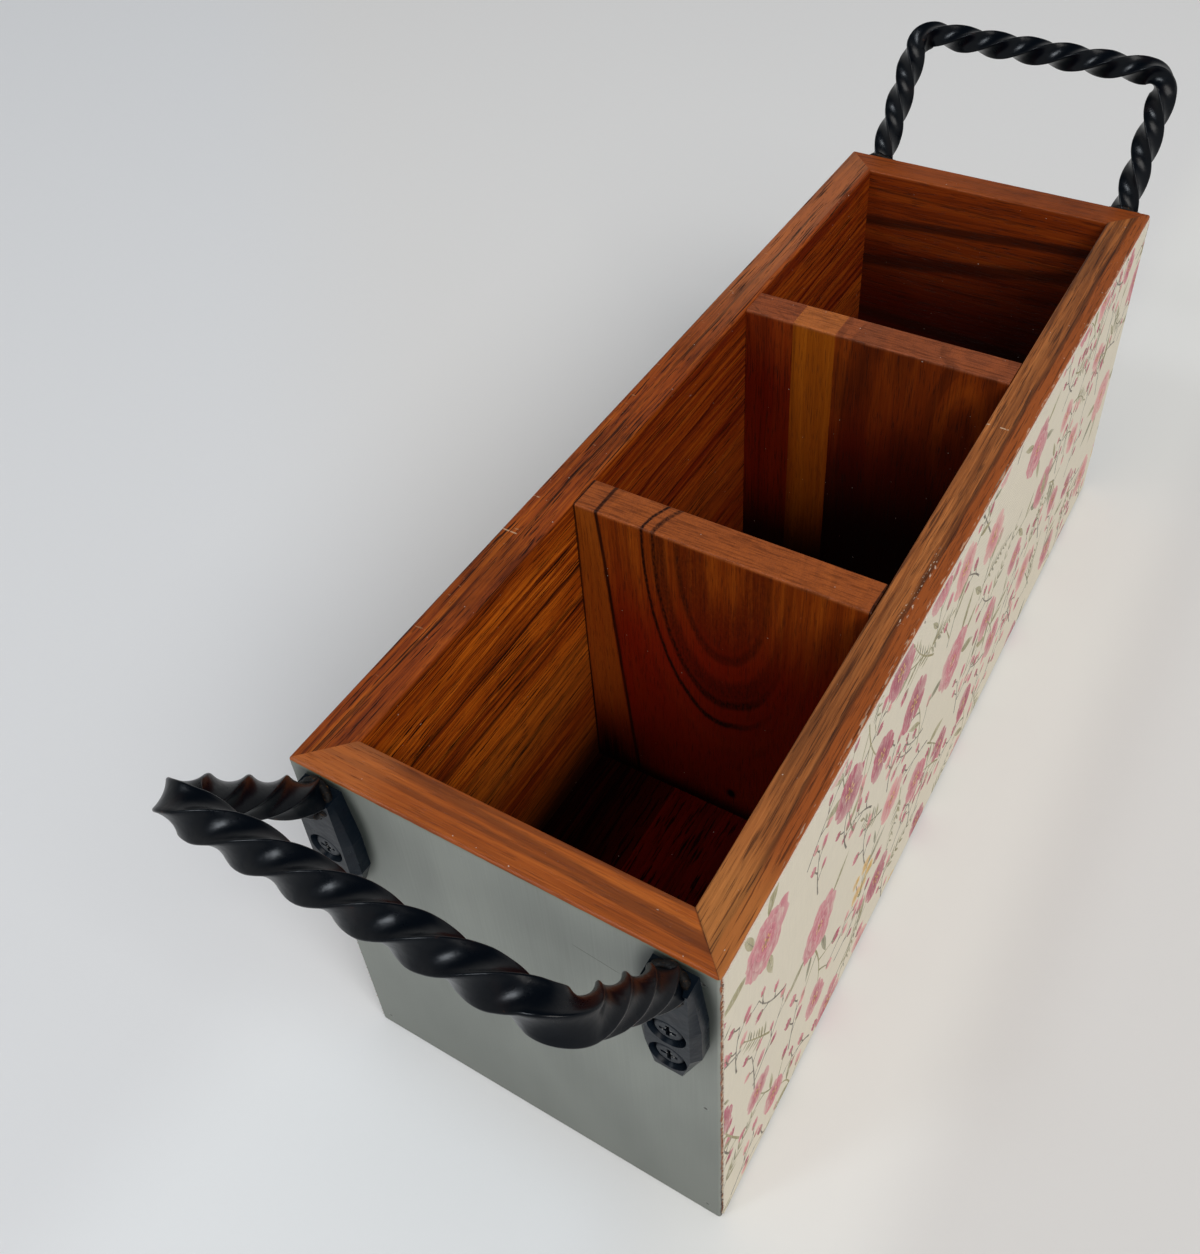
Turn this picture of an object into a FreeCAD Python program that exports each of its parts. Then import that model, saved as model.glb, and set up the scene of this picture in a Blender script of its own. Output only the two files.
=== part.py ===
import FreeCAD, Part
import math
import os

# Utensil caddy: an open wooden box with three compartments and a twisted iron handle at each end.
# Millimetres, +Z up. The origin is the middle of the footprint, and +Y runs along the box to its rear end.

# Box of four mitred boards
LENGTH = 378.0
WIDTH = 130.0
HEIGHT = 147.0
BOARD_THICKNESS = 13.8
OUTER_EASING = 0.9
INNER_EASING = 0.8

# Floor of two planks, which lie in a groove around the inside of the boards
FLOOR_LIFT = 4.0
FLOOR_THICKNESS = 12.0
GROOVE_DEPTH = 5.0
GROOVE_PLAY = 0.3
LEFT_PLANK_SHOWING = 34.0

# Dividers that stand on the floor, the rear one glued up from three staves
DIVIDER_THICKNESS = 13.5
DIVIDER_PITCH = 123.0
DIVIDER_END_GAP = 0.2
LEFT_STAVE_WIDTH = 19.5
MIDDLE_STAVE_WIDTH = 17.0

# Printed cloth glued to the flat of each long side
CLOTH_THICKNESS = 0.5
CLOTH_MARGIN = 0.3

# Brads that pin the mitres and the divider ends
BRAD_DIAMETER = 1.4
BRAD_LENGTH = 25.0
BRAD_HEAD_DIAMETER = 2.2
BRAD_HEAD_HEIGHT = 0.8
BRAD_CLEARANCE = 0.05
BRADS_PER_ROW = 3
CORNER_BRAD_MARGIN = 6.0
DIVIDER_BRAD_MARGIN = 16.0

# Handle bar: a square bar with a left-hand twist, two slanted legs and a level grip
BAR_SIZE = 8.4
BAR_ROUNDING = 1.2
GRIP_REACH = 40.5
GRIP_RISE = 40.5
LEG_ROOT_DROP = 10.5
BEND_INSIDE_RADIUS = 2.0
QUARTER_TURNS = 16
FIRST_TURN_DEGREES = 40.0
SECTIONS_PER_QUARTER = 6

# Handle foot: a bevelled plate, narrow at the bar, widest at the screws and blunt below
FOOT_THICKNESS = 6.0
FOOT_WIDTH = 17.2
FOOT_EDGE_MARGIN = 2.9
FOOT_NECK_MARGIN = 2.0
FOOT_POINT_WIDTH = 8.0
FOOT_TOP_DROP = 3.5
FOOT_NECK_HEIGHT = 18.5
FOOT_SIDE_HEIGHT = 14.0
FOOT_POINT_HEIGHT = 12.0
FOOT_BEVEL = 2.2
WELD_GAP = 0.05

# Cross-head screws, sunk into flared counterbores in the foot
SCREW_DIAMETER = 4.0
SCREW_HEAD_DIAMETER = 8.4
SCREW_HEAD_HEIGHT = 2.6
SCREW_HEAD_ROUNDING = 1.1
SCREW_TIP_LENGTH = 3.0
SCREW_TIP_COVER = 2.5
SCREW_PITCH = 12.5
LOWER_SCREW_RISE = 9.0
SCREW_SEAT = 3.2
SCREW_HEAD_CLEARANCE = 0.4
SCREW_SINK_FLARE = 0.9
SCREW_HOLE_CLEARANCE = 0.3
SCREW_PILOT_CLEARANCE = 0.05
CROSS_LENGTH = 4.8
CROSS_WIDTH = 1.1
CROSS_DEPTH = 1.5

# Places that follow from the sizes above
INNER_LENGTH = LENGTH - 2 * BOARD_THICKNESS
INNER_WIDTH = WIDTH - 2 * BOARD_THICKNESS
FLOOR_TOP = FLOOR_LIFT + FLOOR_THICKNESS
DIVIDER_WIDTH = INNER_WIDTH - 2 * DIVIDER_END_GAP
CORNER_BRAD_INSET = (BOARD_THICKNESS - GROOVE_DEPTH) / 2
LEG_SPREAD = WIDTH - FOOT_WIDTH - 2 * FOOT_EDGE_MARGIN
BEND_RADIUS = BAR_SIZE * math.sqrt(0.5) + BEND_INSIDE_RADIUS
FRONT_FACE = -LENGTH / 2
FOOT_FACE = FRONT_FACE - FOOT_THICKNESS
FOOT_TOP = HEIGHT - FOOT_TOP_DROP
FOOT_SHOULDER = FOOT_TOP - FOOT_NECK_HEIGHT
FOOT_HIP = FOOT_SHOULDER - FOOT_SIDE_HEIGHT
FOOT_POINT = FOOT_HIP - FOOT_POINT_HEIGHT
SCREW_HEIGHTS = [FOOT_POINT + LOWER_SCREW_RISE, FOOT_POINT + LOWER_SCREW_RISE + SCREW_PITCH]
SCREW_SHANK = FOOT_THICKNESS - SCREW_SEAT + BOARD_THICKNESS - SCREW_TIP_COVER

UP = FreeCAD.Vector(0, 0, 1)
ALONG = FreeCAD.Vector(0, 1, 0)
ACROSS = FreeCAD.Vector(1, 0, 0)


def spread(low, high, count):
    step = (high - low) / (count - 1)
    return [low + step * i for i in range(count)]


def turned(shape):
    # The box looks the same when turned half round, so one end and one side serve for both
    copy = shape.copy()
    copy.rotate(FreeCAD.Vector(0, 0, 0), UP, 180)
    return copy


def block(width, length, low, high):
    return Part.makeBox(width, length, high - low, FreeCAD.Vector(-width / 2, -length / 2, low))


def prism(points, direction):
    return Part.Face(Part.makePolygon(points + points[:1])).extrude(direction)


def rod(radius, length, start, direction):
    return Part.makeCylinder(radius, length, start, direction)


def brad(start, direction, clearance=0.0):
    # The head lies flush with the board, and the shank runs on from it
    head = rod(BRAD_HEAD_DIAMETER / 2 + clearance, BRAD_HEAD_HEIGHT + clearance, start, direction)
    shank = rod(BRAD_DIAMETER / 2 + clearance, BRAD_LENGTH + clearance, start, direction)
    return head.fuse(shank).removeSplitter()


def corner_brad_starts():
    inset = WIDTH / 2 - CORNER_BRAD_INSET
    heights = spread(CORNER_BRAD_MARGIN, HEIGHT - CORNER_BRAD_MARGIN, BRADS_PER_ROW)
    return [FreeCAD.Vector(x, FRONT_FACE, z) for x in (-inset, inset) for z in heights]


def divider_brad_starts():
    heights = spread(FLOOR_TOP + DIVIDER_BRAD_MARGIN, HEIGHT - DIVIDER_BRAD_MARGIN, BRADS_PER_ROW)
    rows = (-DIVIDER_PITCH / 2, DIVIDER_PITCH / 2)
    return [FreeCAD.Vector(WIDTH / 2, y, z) for y in rows for z in heights]


def corner_brads(clearance=0.0):
    return Part.makeCompound([brad(start, ALONG, clearance) for start in corner_brad_starts()])


def divider_brads(clearance=0.0):
    return Part.makeCompound([brad(start, -ACROSS, clearance) for start in divider_brad_starts()])


def screw_places():
    return [(x, z) for x in (-LEG_SPREAD / 2, LEG_SPREAD / 2) for z in SCREW_HEIGHTS]


def screw_shank(x, z, clearance=0.0):
    # From the head's seat in the foot into the end board, stopping short of the inside
    radius = SCREW_DIAMETER / 2 + clearance
    straight = SCREW_SHANK - SCREW_TIP_LENGTH
    seat = FreeCAD.Vector(x, FOOT_FACE + SCREW_SEAT, z)
    tip = Part.makeCone(radius, 0, SCREW_TIP_LENGTH + clearance, seat + ALONG * straight, ALONG)
    return rod(radius, straight, seat, ALONG).fuse(tip)


def screw(x, z):
    seat = FreeCAD.Vector(x, FOOT_FACE + SCREW_SEAT, z)
    head = rod(SCREW_HEAD_DIAMETER / 2, SCREW_HEAD_HEIGHT, seat, -ALONG)
    crown = seat.y - SCREW_HEAD_HEIGHT
    head = head.makeFillet(SCREW_HEAD_ROUNDING, edges_at(head, "YMin", crown))
    whole = head.fuse(screw_shank(x, z)).removeSplitter()
    for across, upward in ((CROSS_LENGTH, CROSS_WIDTH), (CROSS_WIDTH, CROSS_LENGTH)):
        corner = FreeCAD.Vector(x - across / 2, crown, z - upward / 2)
        whole = whole.cut(Part.makeBox(across, CROSS_DEPTH, upward, corner))
    return whole


def edges_at(shape, side, value):
    # Edges that lie flat at one end of the shape: both limits of the edge are at the value
    other = side.replace("Min", "Max")
    return [
        e for e in shape.Edges
        if abs(getattr(e.BoundBox, side) - value) < 0.01 and abs(getattr(e.BoundBox, other) - value) < 0.01
    ]


def box_ring():
    # All four boards in one, with eased edges, the floor groove and the holes for brads and screws
    outer = block(WIDTH, LENGTH, 0, HEIGHT)
    outer = outer.makeFillet(OUTER_EASING, outer.Edges)
    ring = outer.cut(block(INNER_WIDTH, INNER_LENGTH, -1, HEIGHT + 1))
    inner_rim = [
        e for e in edges_at(ring, "ZMin", HEIGHT)
        if abs(e.CenterOfMass.x) < INNER_WIDTH / 2 + 0.01 and abs(e.CenterOfMass.y) < INNER_LENGTH / 2 + 0.01
    ]
    ring = ring.makeFillet(INNER_EASING, inner_rim)
    groove_width = INNER_WIDTH + 2 * GROOVE_DEPTH
    groove_length = INNER_LENGTH + 2 * GROOVE_DEPTH
    ring = ring.cut(block(groove_width, groove_length, FLOOR_LIFT, FLOOR_TOP + GROOVE_PLAY))
    pilots = [screw_shank(x, z, SCREW_PILOT_CLEARANCE) for x, z in screw_places()]
    for cutter in (corner_brads(BRAD_CLEARANCE), divider_brads(BRAD_CLEARANCE), Part.makeCompound(pilots)):
        for hole in cutter.Solids:
            ring = ring.cut(hole)
            ring = ring.cut(turned(hole))
    return ring


def mitre_corner(x_sign, y_sign, steps):
    # A point on the mitre line: 0 is the outer corner of the box and 1 the inner corner
    x = WIDTH / 2 - steps * BOARD_THICKNESS
    y = LENGTH / 2 - steps * BOARD_THICKNESS
    return FreeCAD.Vector(x_sign * x, y_sign * y, -1)


def mitred(ring, corners):
    # The part of the ring between two mitre planes
    near, far = corners
    points = [mitre_corner(*near, -0.5), mitre_corner(*far, -0.5), mitre_corner(*far, 1.5), mitre_corner(*near, 1.5)]
    return ring.common(prism(points, UP * (HEIGHT + 2))).Solids[0]


def plank(left, right):
    depth = INNER_LENGTH + 2 * (GROOVE_DEPTH - GROOVE_PLAY)
    return Part.makeBox(right - left, depth, FLOOR_THICKNESS, FreeCAD.Vector(left, -depth / 2, FLOOR_LIFT))


def divider_board(left, right, middle):
    start = FreeCAD.Vector(left, middle - DIVIDER_THICKNESS / 2, FLOOR_TOP)
    board = Part.makeBox(right - left, DIVIDER_THICKNESS, HEIGHT - FLOOR_TOP, start)
    long_edges = [e for e in edges_at(board, "ZMin", HEIGHT) if e.BoundBox.XLength > e.BoundBox.YLength]
    board = board.makeFillet(INNER_EASING, long_edges)
    for hole in divider_brads(BRAD_CLEARANCE).Solids:
        board = board.cut(hole)
        board = board.cut(turned(hole))
    return board


def print_cloth():
    flat_length = LENGTH - 2 * (OUTER_EASING + CLOTH_MARGIN)
    low = OUTER_EASING + CLOTH_MARGIN
    corner = FreeCAD.Vector(WIDTH / 2, -flat_length / 2, low)
    return Part.makeBox(CLOTH_THICKNESS, flat_length, HEIGHT - 2 * low, corner)


def foot_outline(y, bevel):
    # Half-widths and heights from the neck at the bar down to the blunt point
    neck = BAR_SIZE / 2 + FOOT_NECK_MARGIN
    half = FOOT_WIDTH / 2 - bevel
    point = FOOT_POINT_WIDTH / 2
    right = [
        (neck, FOOT_TOP),
        (half, FOOT_SHOULDER),
        (half, FOOT_HIP),
        (point, FOOT_POINT + bevel),
    ]
    left = [(-x, z) for x, z in reversed(right)]
    return Part.makePolygon([FreeCAD.Vector(x, y, z) for x, z in right + left + right[:1]])


def foot(x, bar_space):
    # The plate is notched at its neck for the leg, which is welded in there
    edge = FOOT_FACE + FOOT_BEVEL
    plate = Part.Face(foot_outline(edge, 0)).extrude(ALONG * (FRONT_FACE - edge))
    front = Part.makeLoft([foot_outline(edge, 0), foot_outline(FOOT_FACE, FOOT_BEVEL)], True, True)
    whole = plate.fuse(front).removeSplitter()
    whole.translate(ACROSS * x)
    whole = whole.cut(bar_space).Solids[0]
    sink = SCREW_HEAD_DIAMETER / 2 + SCREW_HEAD_CLEARANCE
    for z in SCREW_HEIGHTS:
        face = FreeCAD.Vector(x, FOOT_FACE, z)
        whole = whole.cut(Part.makeCone(sink + SCREW_SINK_FLARE, sink, SCREW_SEAT, face, ALONG))
        whole = whole.cut(rod(SCREW_DIAMETER / 2 + SCREW_HOLE_CLEARANCE, FOOT_THICKNESS, face, ALONG))
    return whole


def bar_route():
    # Lengths of one leg, one bend and the grip, and the slant of the plane that they lie in.
    # The leg starts one bar's size behind the board's face, so that its flat end is whole
    rise = GRIP_RISE + LEG_ROOT_DROP
    leg = BAR_SIZE + math.hypot(GRIP_REACH, rise) - BEND_RADIUS
    bend = BEND_RADIUS * math.pi / 2
    grip = LEG_SPREAD - 2 * BEND_RADIUS
    return leg, bend, grip, math.atan2(rise, GRIP_REACH)


def bar_point(distance):
    # Place and heading in the handle's own plane: across the box, then out along the legs
    leg, bend, grip, slant = bar_route()
    half = LEG_SPREAD / 2
    total = 2 * (leg + bend) + grip
    if distance > total / 2:
        across, out, heading = bar_point(total - distance)
        return -across, out, -heading
    if distance <= leg:
        return -half, distance, math.pi / 2
    if distance <= leg + bend:
        turn = (distance - leg) / BEND_RADIUS
        across = -half + BEND_RADIUS * (1 - math.cos(turn))
        return across, leg + BEND_RADIUS * math.sin(turn), math.pi / 2 - turn
    return -half + BEND_RADIUS + distance - leg - bend, leg + BEND_RADIUS, 0.0


def bar_section(distance, twist, half):
    # A rounded square, square to the route and turned about it
    leg, bend, grip, slant = bar_route()
    outward = FreeCAD.Vector(0, -math.cos(slant), math.sin(slant))
    normal = ACROSS.cross(outward)
    across, out, heading = bar_point(distance)
    root = FreeCAD.Vector(0, FRONT_FACE, HEIGHT - LEG_ROOT_DROP)
    centre = root + ACROSS * across + outward * (out - BAR_SIZE)
    side = outward * math.cos(heading) - ACROSS * math.sin(heading)
    first = normal * math.cos(twist) + side * math.sin(twist)
    second = side * math.cos(twist) - normal * math.sin(twist)
    flat = half - BAR_ROUNDING
    middle = flat + BAR_ROUNDING * math.sqrt(0.5)
    edges = []
    for a, b in ((first, second), (second, -first), (-first, -second), (-second, first)):
        start = centre + a * half - b * flat
        end = centre + a * half + b * flat
        rounded = centre + a * middle + b * middle
        after = centre + a * flat + b * half
        edges.append(Part.makeLine(start, end))
        edges.append(Part.Arc(end, rounded, after).toShape())
    return Part.Wire(edges)


def handle_bar(gap=0.0):
    leg, bend, grip, slant = bar_route()
    total = 2 * (leg + bend) + grip
    count = QUARTER_TURNS * SECTIONS_PER_QUARTER
    first_turn = math.radians(FIRST_TURN_DEGREES)
    step = math.pi / 2 / SECTIONS_PER_QUARTER
    half = BAR_SIZE / 2 + gap
    sections = [bar_section(total * i / count, first_turn + step * i, half) for i in range(count + 1)]
    bar = Part.makeLoft(sections, True, True)
    # The leg ends are cut flat where they stand against the end board
    behind = Part.makeBox(2 * LEG_SPREAD, LENGTH, 2 * HEIGHT, FreeCAD.Vector(-LEG_SPREAD, FRONT_FACE, 0))
    return bar.cut(behind).Solids[0]


ring = box_ring()
front_end = mitred(ring, ((-1, -1), (1, -1)))
right_side = mitred(ring, ((1, -1), (1, 1)))

floor_left = -INNER_WIDTH / 2 - GROOVE_DEPTH + GROOVE_PLAY
floor_joint = -INNER_WIDTH / 2 + LEFT_PLANK_SHOWING
divider_left = -DIVIDER_WIDTH / 2
first_joint = divider_left + LEFT_STAVE_WIDTH
second_joint = first_joint + MIDDLE_STAVE_WIDTH
divider_right = DIVIDER_WIDTH / 2

bar = handle_bar()
bar_space = handle_bar(WELD_GAP)
left_foot = foot(-LEG_SPREAD / 2, bar_space)
right_foot = foot(LEG_SPREAD / 2, bar_space)
screws = Part.makeCompound([screw(x, z) for x, z in screw_places()])

nodes = {
    "front_end_panel": front_end,
    "rear_end_panel": turned(front_end),
    "left_side_panel": turned(right_side),
    "right_side_panel": right_side,
    "base_left_plank": plank(floor_left, floor_joint),
    "base_right_plank": plank(floor_joint, -floor_left),
    "front_divider": divider_board(divider_left, divider_right, -DIVIDER_PITCH / 2),
    "rear_divider_left_stave": divider_board(divider_left, first_joint, DIVIDER_PITCH / 2),
    "rear_divider_middle_stave": divider_board(first_joint, second_joint, DIVIDER_PITCH / 2),
    "rear_divider_right_stave": divider_board(second_joint, divider_right, DIVIDER_PITCH / 2),
    "left_print_cover": turned(print_cloth()),
    "right_print_cover": print_cloth(),
    "front_corner_brads": corner_brads(),
    "rear_corner_brads": turned(corner_brads()),
    "left_divider_brads": turned(divider_brads()),
    "right_divider_brads": divider_brads(),
    "front_handle_bar": bar,
    "rear_handle_bar": turned(bar),
    "front_handle_left_foot": left_foot,
    "front_handle_right_foot": right_foot,
    "rear_handle_left_foot": turned(right_foot),
    "rear_handle_right_foot": turned(left_foot),
    "front_handle_screws": screws,
    "rear_handle_screws": turned(screws),
}

os.makedirs("parts", exist_ok=True)
for name, shape in nodes.items():
    shape.exportStep(f"parts/{name}.step")
    print(name, len(shape.Solids), "solids", round(shape.Volume), "mm3", shape.isValid())
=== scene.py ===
import bpy
import bmesh
import math
import random
from mathutils import Matrix, Vector
from mathutils.geometry import delaunay_2d_cdt
from mathutils.noise import noise as bumpyNoise


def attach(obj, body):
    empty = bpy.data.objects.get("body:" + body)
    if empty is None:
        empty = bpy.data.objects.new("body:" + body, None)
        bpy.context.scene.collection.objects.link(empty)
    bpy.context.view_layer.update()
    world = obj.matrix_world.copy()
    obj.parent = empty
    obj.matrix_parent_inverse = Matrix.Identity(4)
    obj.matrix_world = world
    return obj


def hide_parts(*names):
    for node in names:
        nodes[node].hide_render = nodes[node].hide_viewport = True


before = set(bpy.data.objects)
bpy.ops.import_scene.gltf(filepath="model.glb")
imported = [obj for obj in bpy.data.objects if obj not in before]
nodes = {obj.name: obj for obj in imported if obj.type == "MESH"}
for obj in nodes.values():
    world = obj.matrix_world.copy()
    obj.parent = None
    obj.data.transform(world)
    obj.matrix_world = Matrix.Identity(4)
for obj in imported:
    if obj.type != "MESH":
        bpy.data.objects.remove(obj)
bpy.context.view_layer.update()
mm = 0.001
caddyBox = {"endFace": 189.0, "sideFace": 65.0, "high": 147.0}      # millimetres from the origin
print("frame loaded:", len(nodes), "pieces")


# node helpers

def tint(red, green, blue):
    # screen colour 0-255 to the linear colour that shaders take
    def linear(value):
        value /= 255
        return value / 12.92 if value <= 0.04045 else ((value + 0.055) / 1.055) ** 2.4
    return linear(red), linear(green), linear(blue), 1.0


def addNode(tree, kind, sockets=None, **settings):
    made = tree.nodes.new(kind)
    for name, value in settings.items():
        setattr(made, name, value)
    for name, value in (sockets or {}).items():
        if isinstance(value, bpy.types.NodeSocket):
            tree.links.new(value, made.inputs[name])
        else:
            made.inputs[name].default_value = value
    return made


def calc(tree, operation, *values):
    sockets = dict(enumerate(values))
    return addNode(tree, "ShaderNodeMath", sockets, operation=operation).outputs[0]


def times(tree, product, *others):
    for other in others:
        product = calc(tree, "MULTIPLY", product, other)
    return product


def scaled(tree, value, factor, plus):
    return calc(tree, "MULTIPLY_ADD", value, factor, plus)


def less(tree, value, amount):
    return calc(tree, "SUBTRACT", value, amount)


def offsetFrom(tree, value, middle):
    return calc(tree, "ABSOLUTE", less(tree, value, middle))


def farFrom(tree, aside, above):
    return calc(tree, "SQRT", scaled(tree, aside, aside, times(tree, above, above)))


def fade(tree, value, low, high):
    # 0 at low, 1 at high, smooth between
    sockets = {"Value": value, "From Min": low, "From Max": high}
    return addNode(tree, "ShaderNodeMapRange", sockets, interpolation_type="SMOOTHSTEP").outputs[0]


def markRange(tree, value, low, high, soft):
    # 1 between low and high, fading outside
    half = (high - low) / 2
    return fade(tree, offsetFrom(tree, value, (low + high) / 2), half + soft, half)


def mixed(tree, share, first, second, blend="MIX"):
    sockets = {0: share, 6: first, 7: second}
    return addNode(tree, "ShaderNodeMix", sockets, data_type="RGBA", blend_type=blend).outputs[2]


def blended(tree, share, first, second):
    return addNode(tree, "ShaderNodeMix", {0: share, 2: first, 3: second}, data_type="FLOAT").outputs[0]


def ramp(tree, value, stops):
    made = addNode(tree, "ShaderNodeValToRGB", {0: value})
    band = made.color_ramp
    while len(band.elements) < len(stops):
        band.elements.new(0.5)
    for element, (position, colour) in zip(band.elements, stops):
        element.position = position
        element.color = colour
    return made.outputs[0]


def axesOf(tree, order="XYZ"):
    # the object's own place in millimetres, in the order asked for
    place = addNode(tree, "ShaderNodeTexCoord").outputs["Object"]
    inMm = addNode(tree, "ShaderNodeVectorMath", {0: place, "Scale": 1 / mm}, operation="SCALE").outputs[0]
    split = addNode(tree, "ShaderNodeSeparateXYZ", {0: inMm})
    return [split.outputs[axis] for axis in order]


def cloud(tree, axes, cell, seed, detail=2.0, rough=0.5):
    # noise whose cells have these sizes in millimetres
    parts = [scaled(tree, axis, 1 / size, seed) for axis, size in zip(axes, cell)]
    place = addNode(tree, "ShaderNodeCombineXYZ", dict(enumerate(parts))).outputs[0]
    sockets = {"Vector": place, "Scale": 1.0, "Detail": detail, "Roughness": rough}
    return addNode(tree, "ShaderNodeTexNoise", sockets, noise_dimensions="3D").outputs["Fac"]


def cloudLine(tree, value, detail):
    sockets = {"W": value, "Scale": 1.0, "Detail": detail}
    return addNode(tree, "ShaderNodeTexNoise", sockets, noise_dimensions="1D").outputs["Fac"]


def startMaterial(name, gloss=0.5):
    material = bpy.data.materials.new(name)
    material.use_nodes = True
    tree = material.node_tree
    shader = tree.nodes["Principled BSDF"]
    shader.inputs["Specular IOR Level"].default_value = gloss
    return material, tree, shader


def finishSurface(tree, shader, look, depth):
    # look holds colour, rough and height sockets; depth is the bump's full height in millimetres
    sockets = {"Strength": 1.0, "Distance": depth * mm, "Height": look["height"]}
    bump = addNode(tree, "ShaderNodeBump", sockets)
    tree.links.new(look["colour"], shader.inputs["Base Color"])
    tree.links.new(look["rough"], shader.inputs["Roughness"])
    tree.links.new(bump.outputs[0], shader.inputs["Normal"])


def dress(node, material):
    nodes[node].data.materials.clear()
    nodes[node].data.materials.append(material)


# oiled wood: growth rings about a leaning pith, streaks, fibres and pores

woodDefaults = {
    "axes": "YZX",              # along the grain, across the face, through the board
    "seed": 0.0,
    "pith": (40.0, 160.0),      # across and through
    "lean": (0.0, 0.0),         # how the pith drifts along the grain
    "sway": 5.0,
    "ringGap": 7.0,
    "ringShare": 0.42,
    "streakShare": 0.5,
    "fibreShare": 0.22,
    "lineShare": 0.55,
    "poreShare": 0.5,
    "tones": [(66, 24, 8), (130, 58, 16), (166, 86, 30)],
    "spread": 0.2,              # how far apart the tones lie: less gives more contrast
    "ink": (36, 12, 5),
    "rough": 0.44,
    "lowShadeRed": (104, 26, 4),        # painted shade: the deeper red and darker tone the inside takes on lower down, away from the light
    "lowShadeShare": 0.5,
    "lowShadeHeights": (142.0, 40.0),
    "darkKnotAndShade": (10, 2, 1),         # painted shade where the walls meet the floor; also the colour of knots and the mitre seam
    "floorShadeShare": 0.92,
    "floorShadeHeights": (48.0, 17.0),
    "gloss": 0.2,
    "dashShare": 0.5,           # short dark grain lines
    "dashCell": (18.0, 0.6),
    "rail": (96, 40, 12),       # what handling has done to the top edge
    "railShare": 0.0,
    "railCell": (40.0, 40.0),   # grain of that tint, across and along the box
    "calm": 0.45,               # how much fainter the grain lines are up there
    "mottleShare": 0.0,         # dark clouds
    "dust": (206, 198, 186),
    "stripes": [],              # dark or light bands
    "scuffs": [],               # marks from handling
    "knots": [],                # small dark knots: along, wide, reach
    "seamShare": 0.0,           # dark glue line at the front right mitre
}

# noise along the grain: cell in mm, seed shift, detail, roughness, and where its mask starts and is full
woodLayers = {
    "streaks": {"cell": (80, 1.9, 1.9), "shift": 3, "detail": 4, "rough": 0.62},
    "fibres": {"cell": (24, 0.55, 0.55), "shift": 7, "detail": 2, "rough": 0.6},
    "pores": {"cell": (7, 0.42, 0.42), "shift": 11, "detail": 1, "mask": (0.6, 0.7)},
    "gaps": {"cell": (55, 6, 6), "shift": 19, "detail": 1, "mask": (0.38, 0.6)},
    "dashes": {"shift": 29, "detail": 3, "rough": 0.55, "mask": (0.56, 0.63)},      # cell set by the board
    "wander": {"cell": (26, 5, 5), "shift": 31, "detail": 3},
    "dust": {"cell": (1.2, 1.2, 1.2), "shift": 37, "detail": 1, "mask": (0.8, 0.83)},
    "grainy": {"cell": (1.6, 0.8, 0.8), "shift": 41, "detail": 2},
    "mottle": {"cell": (30, 18, 18), "shift": 43, "detail": 4, "mask": (0.44, 0.66)},
}

woodFigure = {
    "driftCell": (120, 34, 34), "thickSway": 0.7,
    "lineRate": 2.3, "lineShift": 40, "lineMask": (0.6, 0.72),
    "topEdge": (145.4, 146.6), "railShift": 47, "railDark": 0.62, "railStops": (0.36, 0.54),
    "seamMask": (1.5, 0.7), "seamWander": 1.6, "scuffShift": 23, "scuffEdge": 0.6, "scuffGrain": -0.8,
    "scuffFade": 0.05, "archGrain": (1.8, 0.05), "bandGrain": (0.9, 0.45), "archEnd": (16, -4),
    "knotLong": 0.7, "knotHeart": 0.3, "dustShare": 0.8,
    "fibreRough": 0.12, "poreRough": 0.25, "poreDepth": -0.8, "bump": 0.09,
}


def stripe(axis, at, half, soft, strength, **more):
    # band in one direction of the board; more may hold colour, heights and until (where an arch ends)
    plain = {"lean": 0.0, "wobble": 0.8, "faceOnly": False}
    return {**plain, "axis": axis, "at": at, "half": half, "soft": soft, "strength": strength, **more}


def scuff(along, thick, soft, strength, colour, **more):
    # mark between these places along and through the board; cell and start break it up
    mark = {"along": along, "thick": thick, "soft": soft, "strength": strength, "colour": colour}
    return {"faceOnly": False, **mark, **more}


def woodLayer(tree, grain, seed, layer):
    made = cloud(tree, grain, layer["cell"], seed + layer["shift"], layer["detail"], layer.get("rough", 0.5))
    return fade(tree, made, *layer["mask"]) if "mask" in layer else made


def stripeMask(tree, band, ways, layers):
    offset = scaled(tree, layers["wander"], band["wobble"], ways[band["axis"]])
    offset = scaled(tree, ways["along"], -band["lean"], offset)
    offset = offsetFrom(tree, offset, band["at"] + band["wobble"] / 2)
    inside = fade(tree, offset, band["half"] + band["soft"], band["half"])
    if band["axis"] == "radius":
        broken = scaled(tree, layers["grainy"], *woodFigure["archGrain"])
    else:
        broken = scaled(tree, layers["streaks"], *woodFigure["bandGrain"])
    inside = calc(tree, "MINIMUM", times(tree, inside, band["strength"], broken), 1.0)
    if band["faceOnly"]:
        inside = times(tree, inside, ways["below"])
    if "heights" in band:
        inside = times(tree, inside, fade(tree, ways["high"], *band["heights"]))
    if "until" in band:
        faint, full = (band["until"] + shift for shift in woodFigure["archEnd"])
        inside = times(tree, inside, fade(tree, ways["wide"], faint, full))
    return inside


def scuffMask(tree, mark, grain, seed, where, dashes):
    along, thick = grain[0], grain[2]
    marked = times(tree, markRange(tree, along, *mark["along"], mark["soft"]),
                   markRange(tree, thick, *mark["thick"], woodFigure["scuffEdge"]), where)
    if "cell" in mark:
        specks = cloud(tree, grain, mark["cell"], seed + woodFigure["scuffShift"], detail=2, rough=0.6)
        full = mark["start"] + woodFigure["scuffFade"]
        marked = times(tree, marked, fade(tree, specks, mark["start"], full))
    else:
        marked = times(tree, marked, scaled(tree, dashes, woodFigure["scuffGrain"], 1.0))
    return times(tree, marked, mark["strength"])


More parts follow.
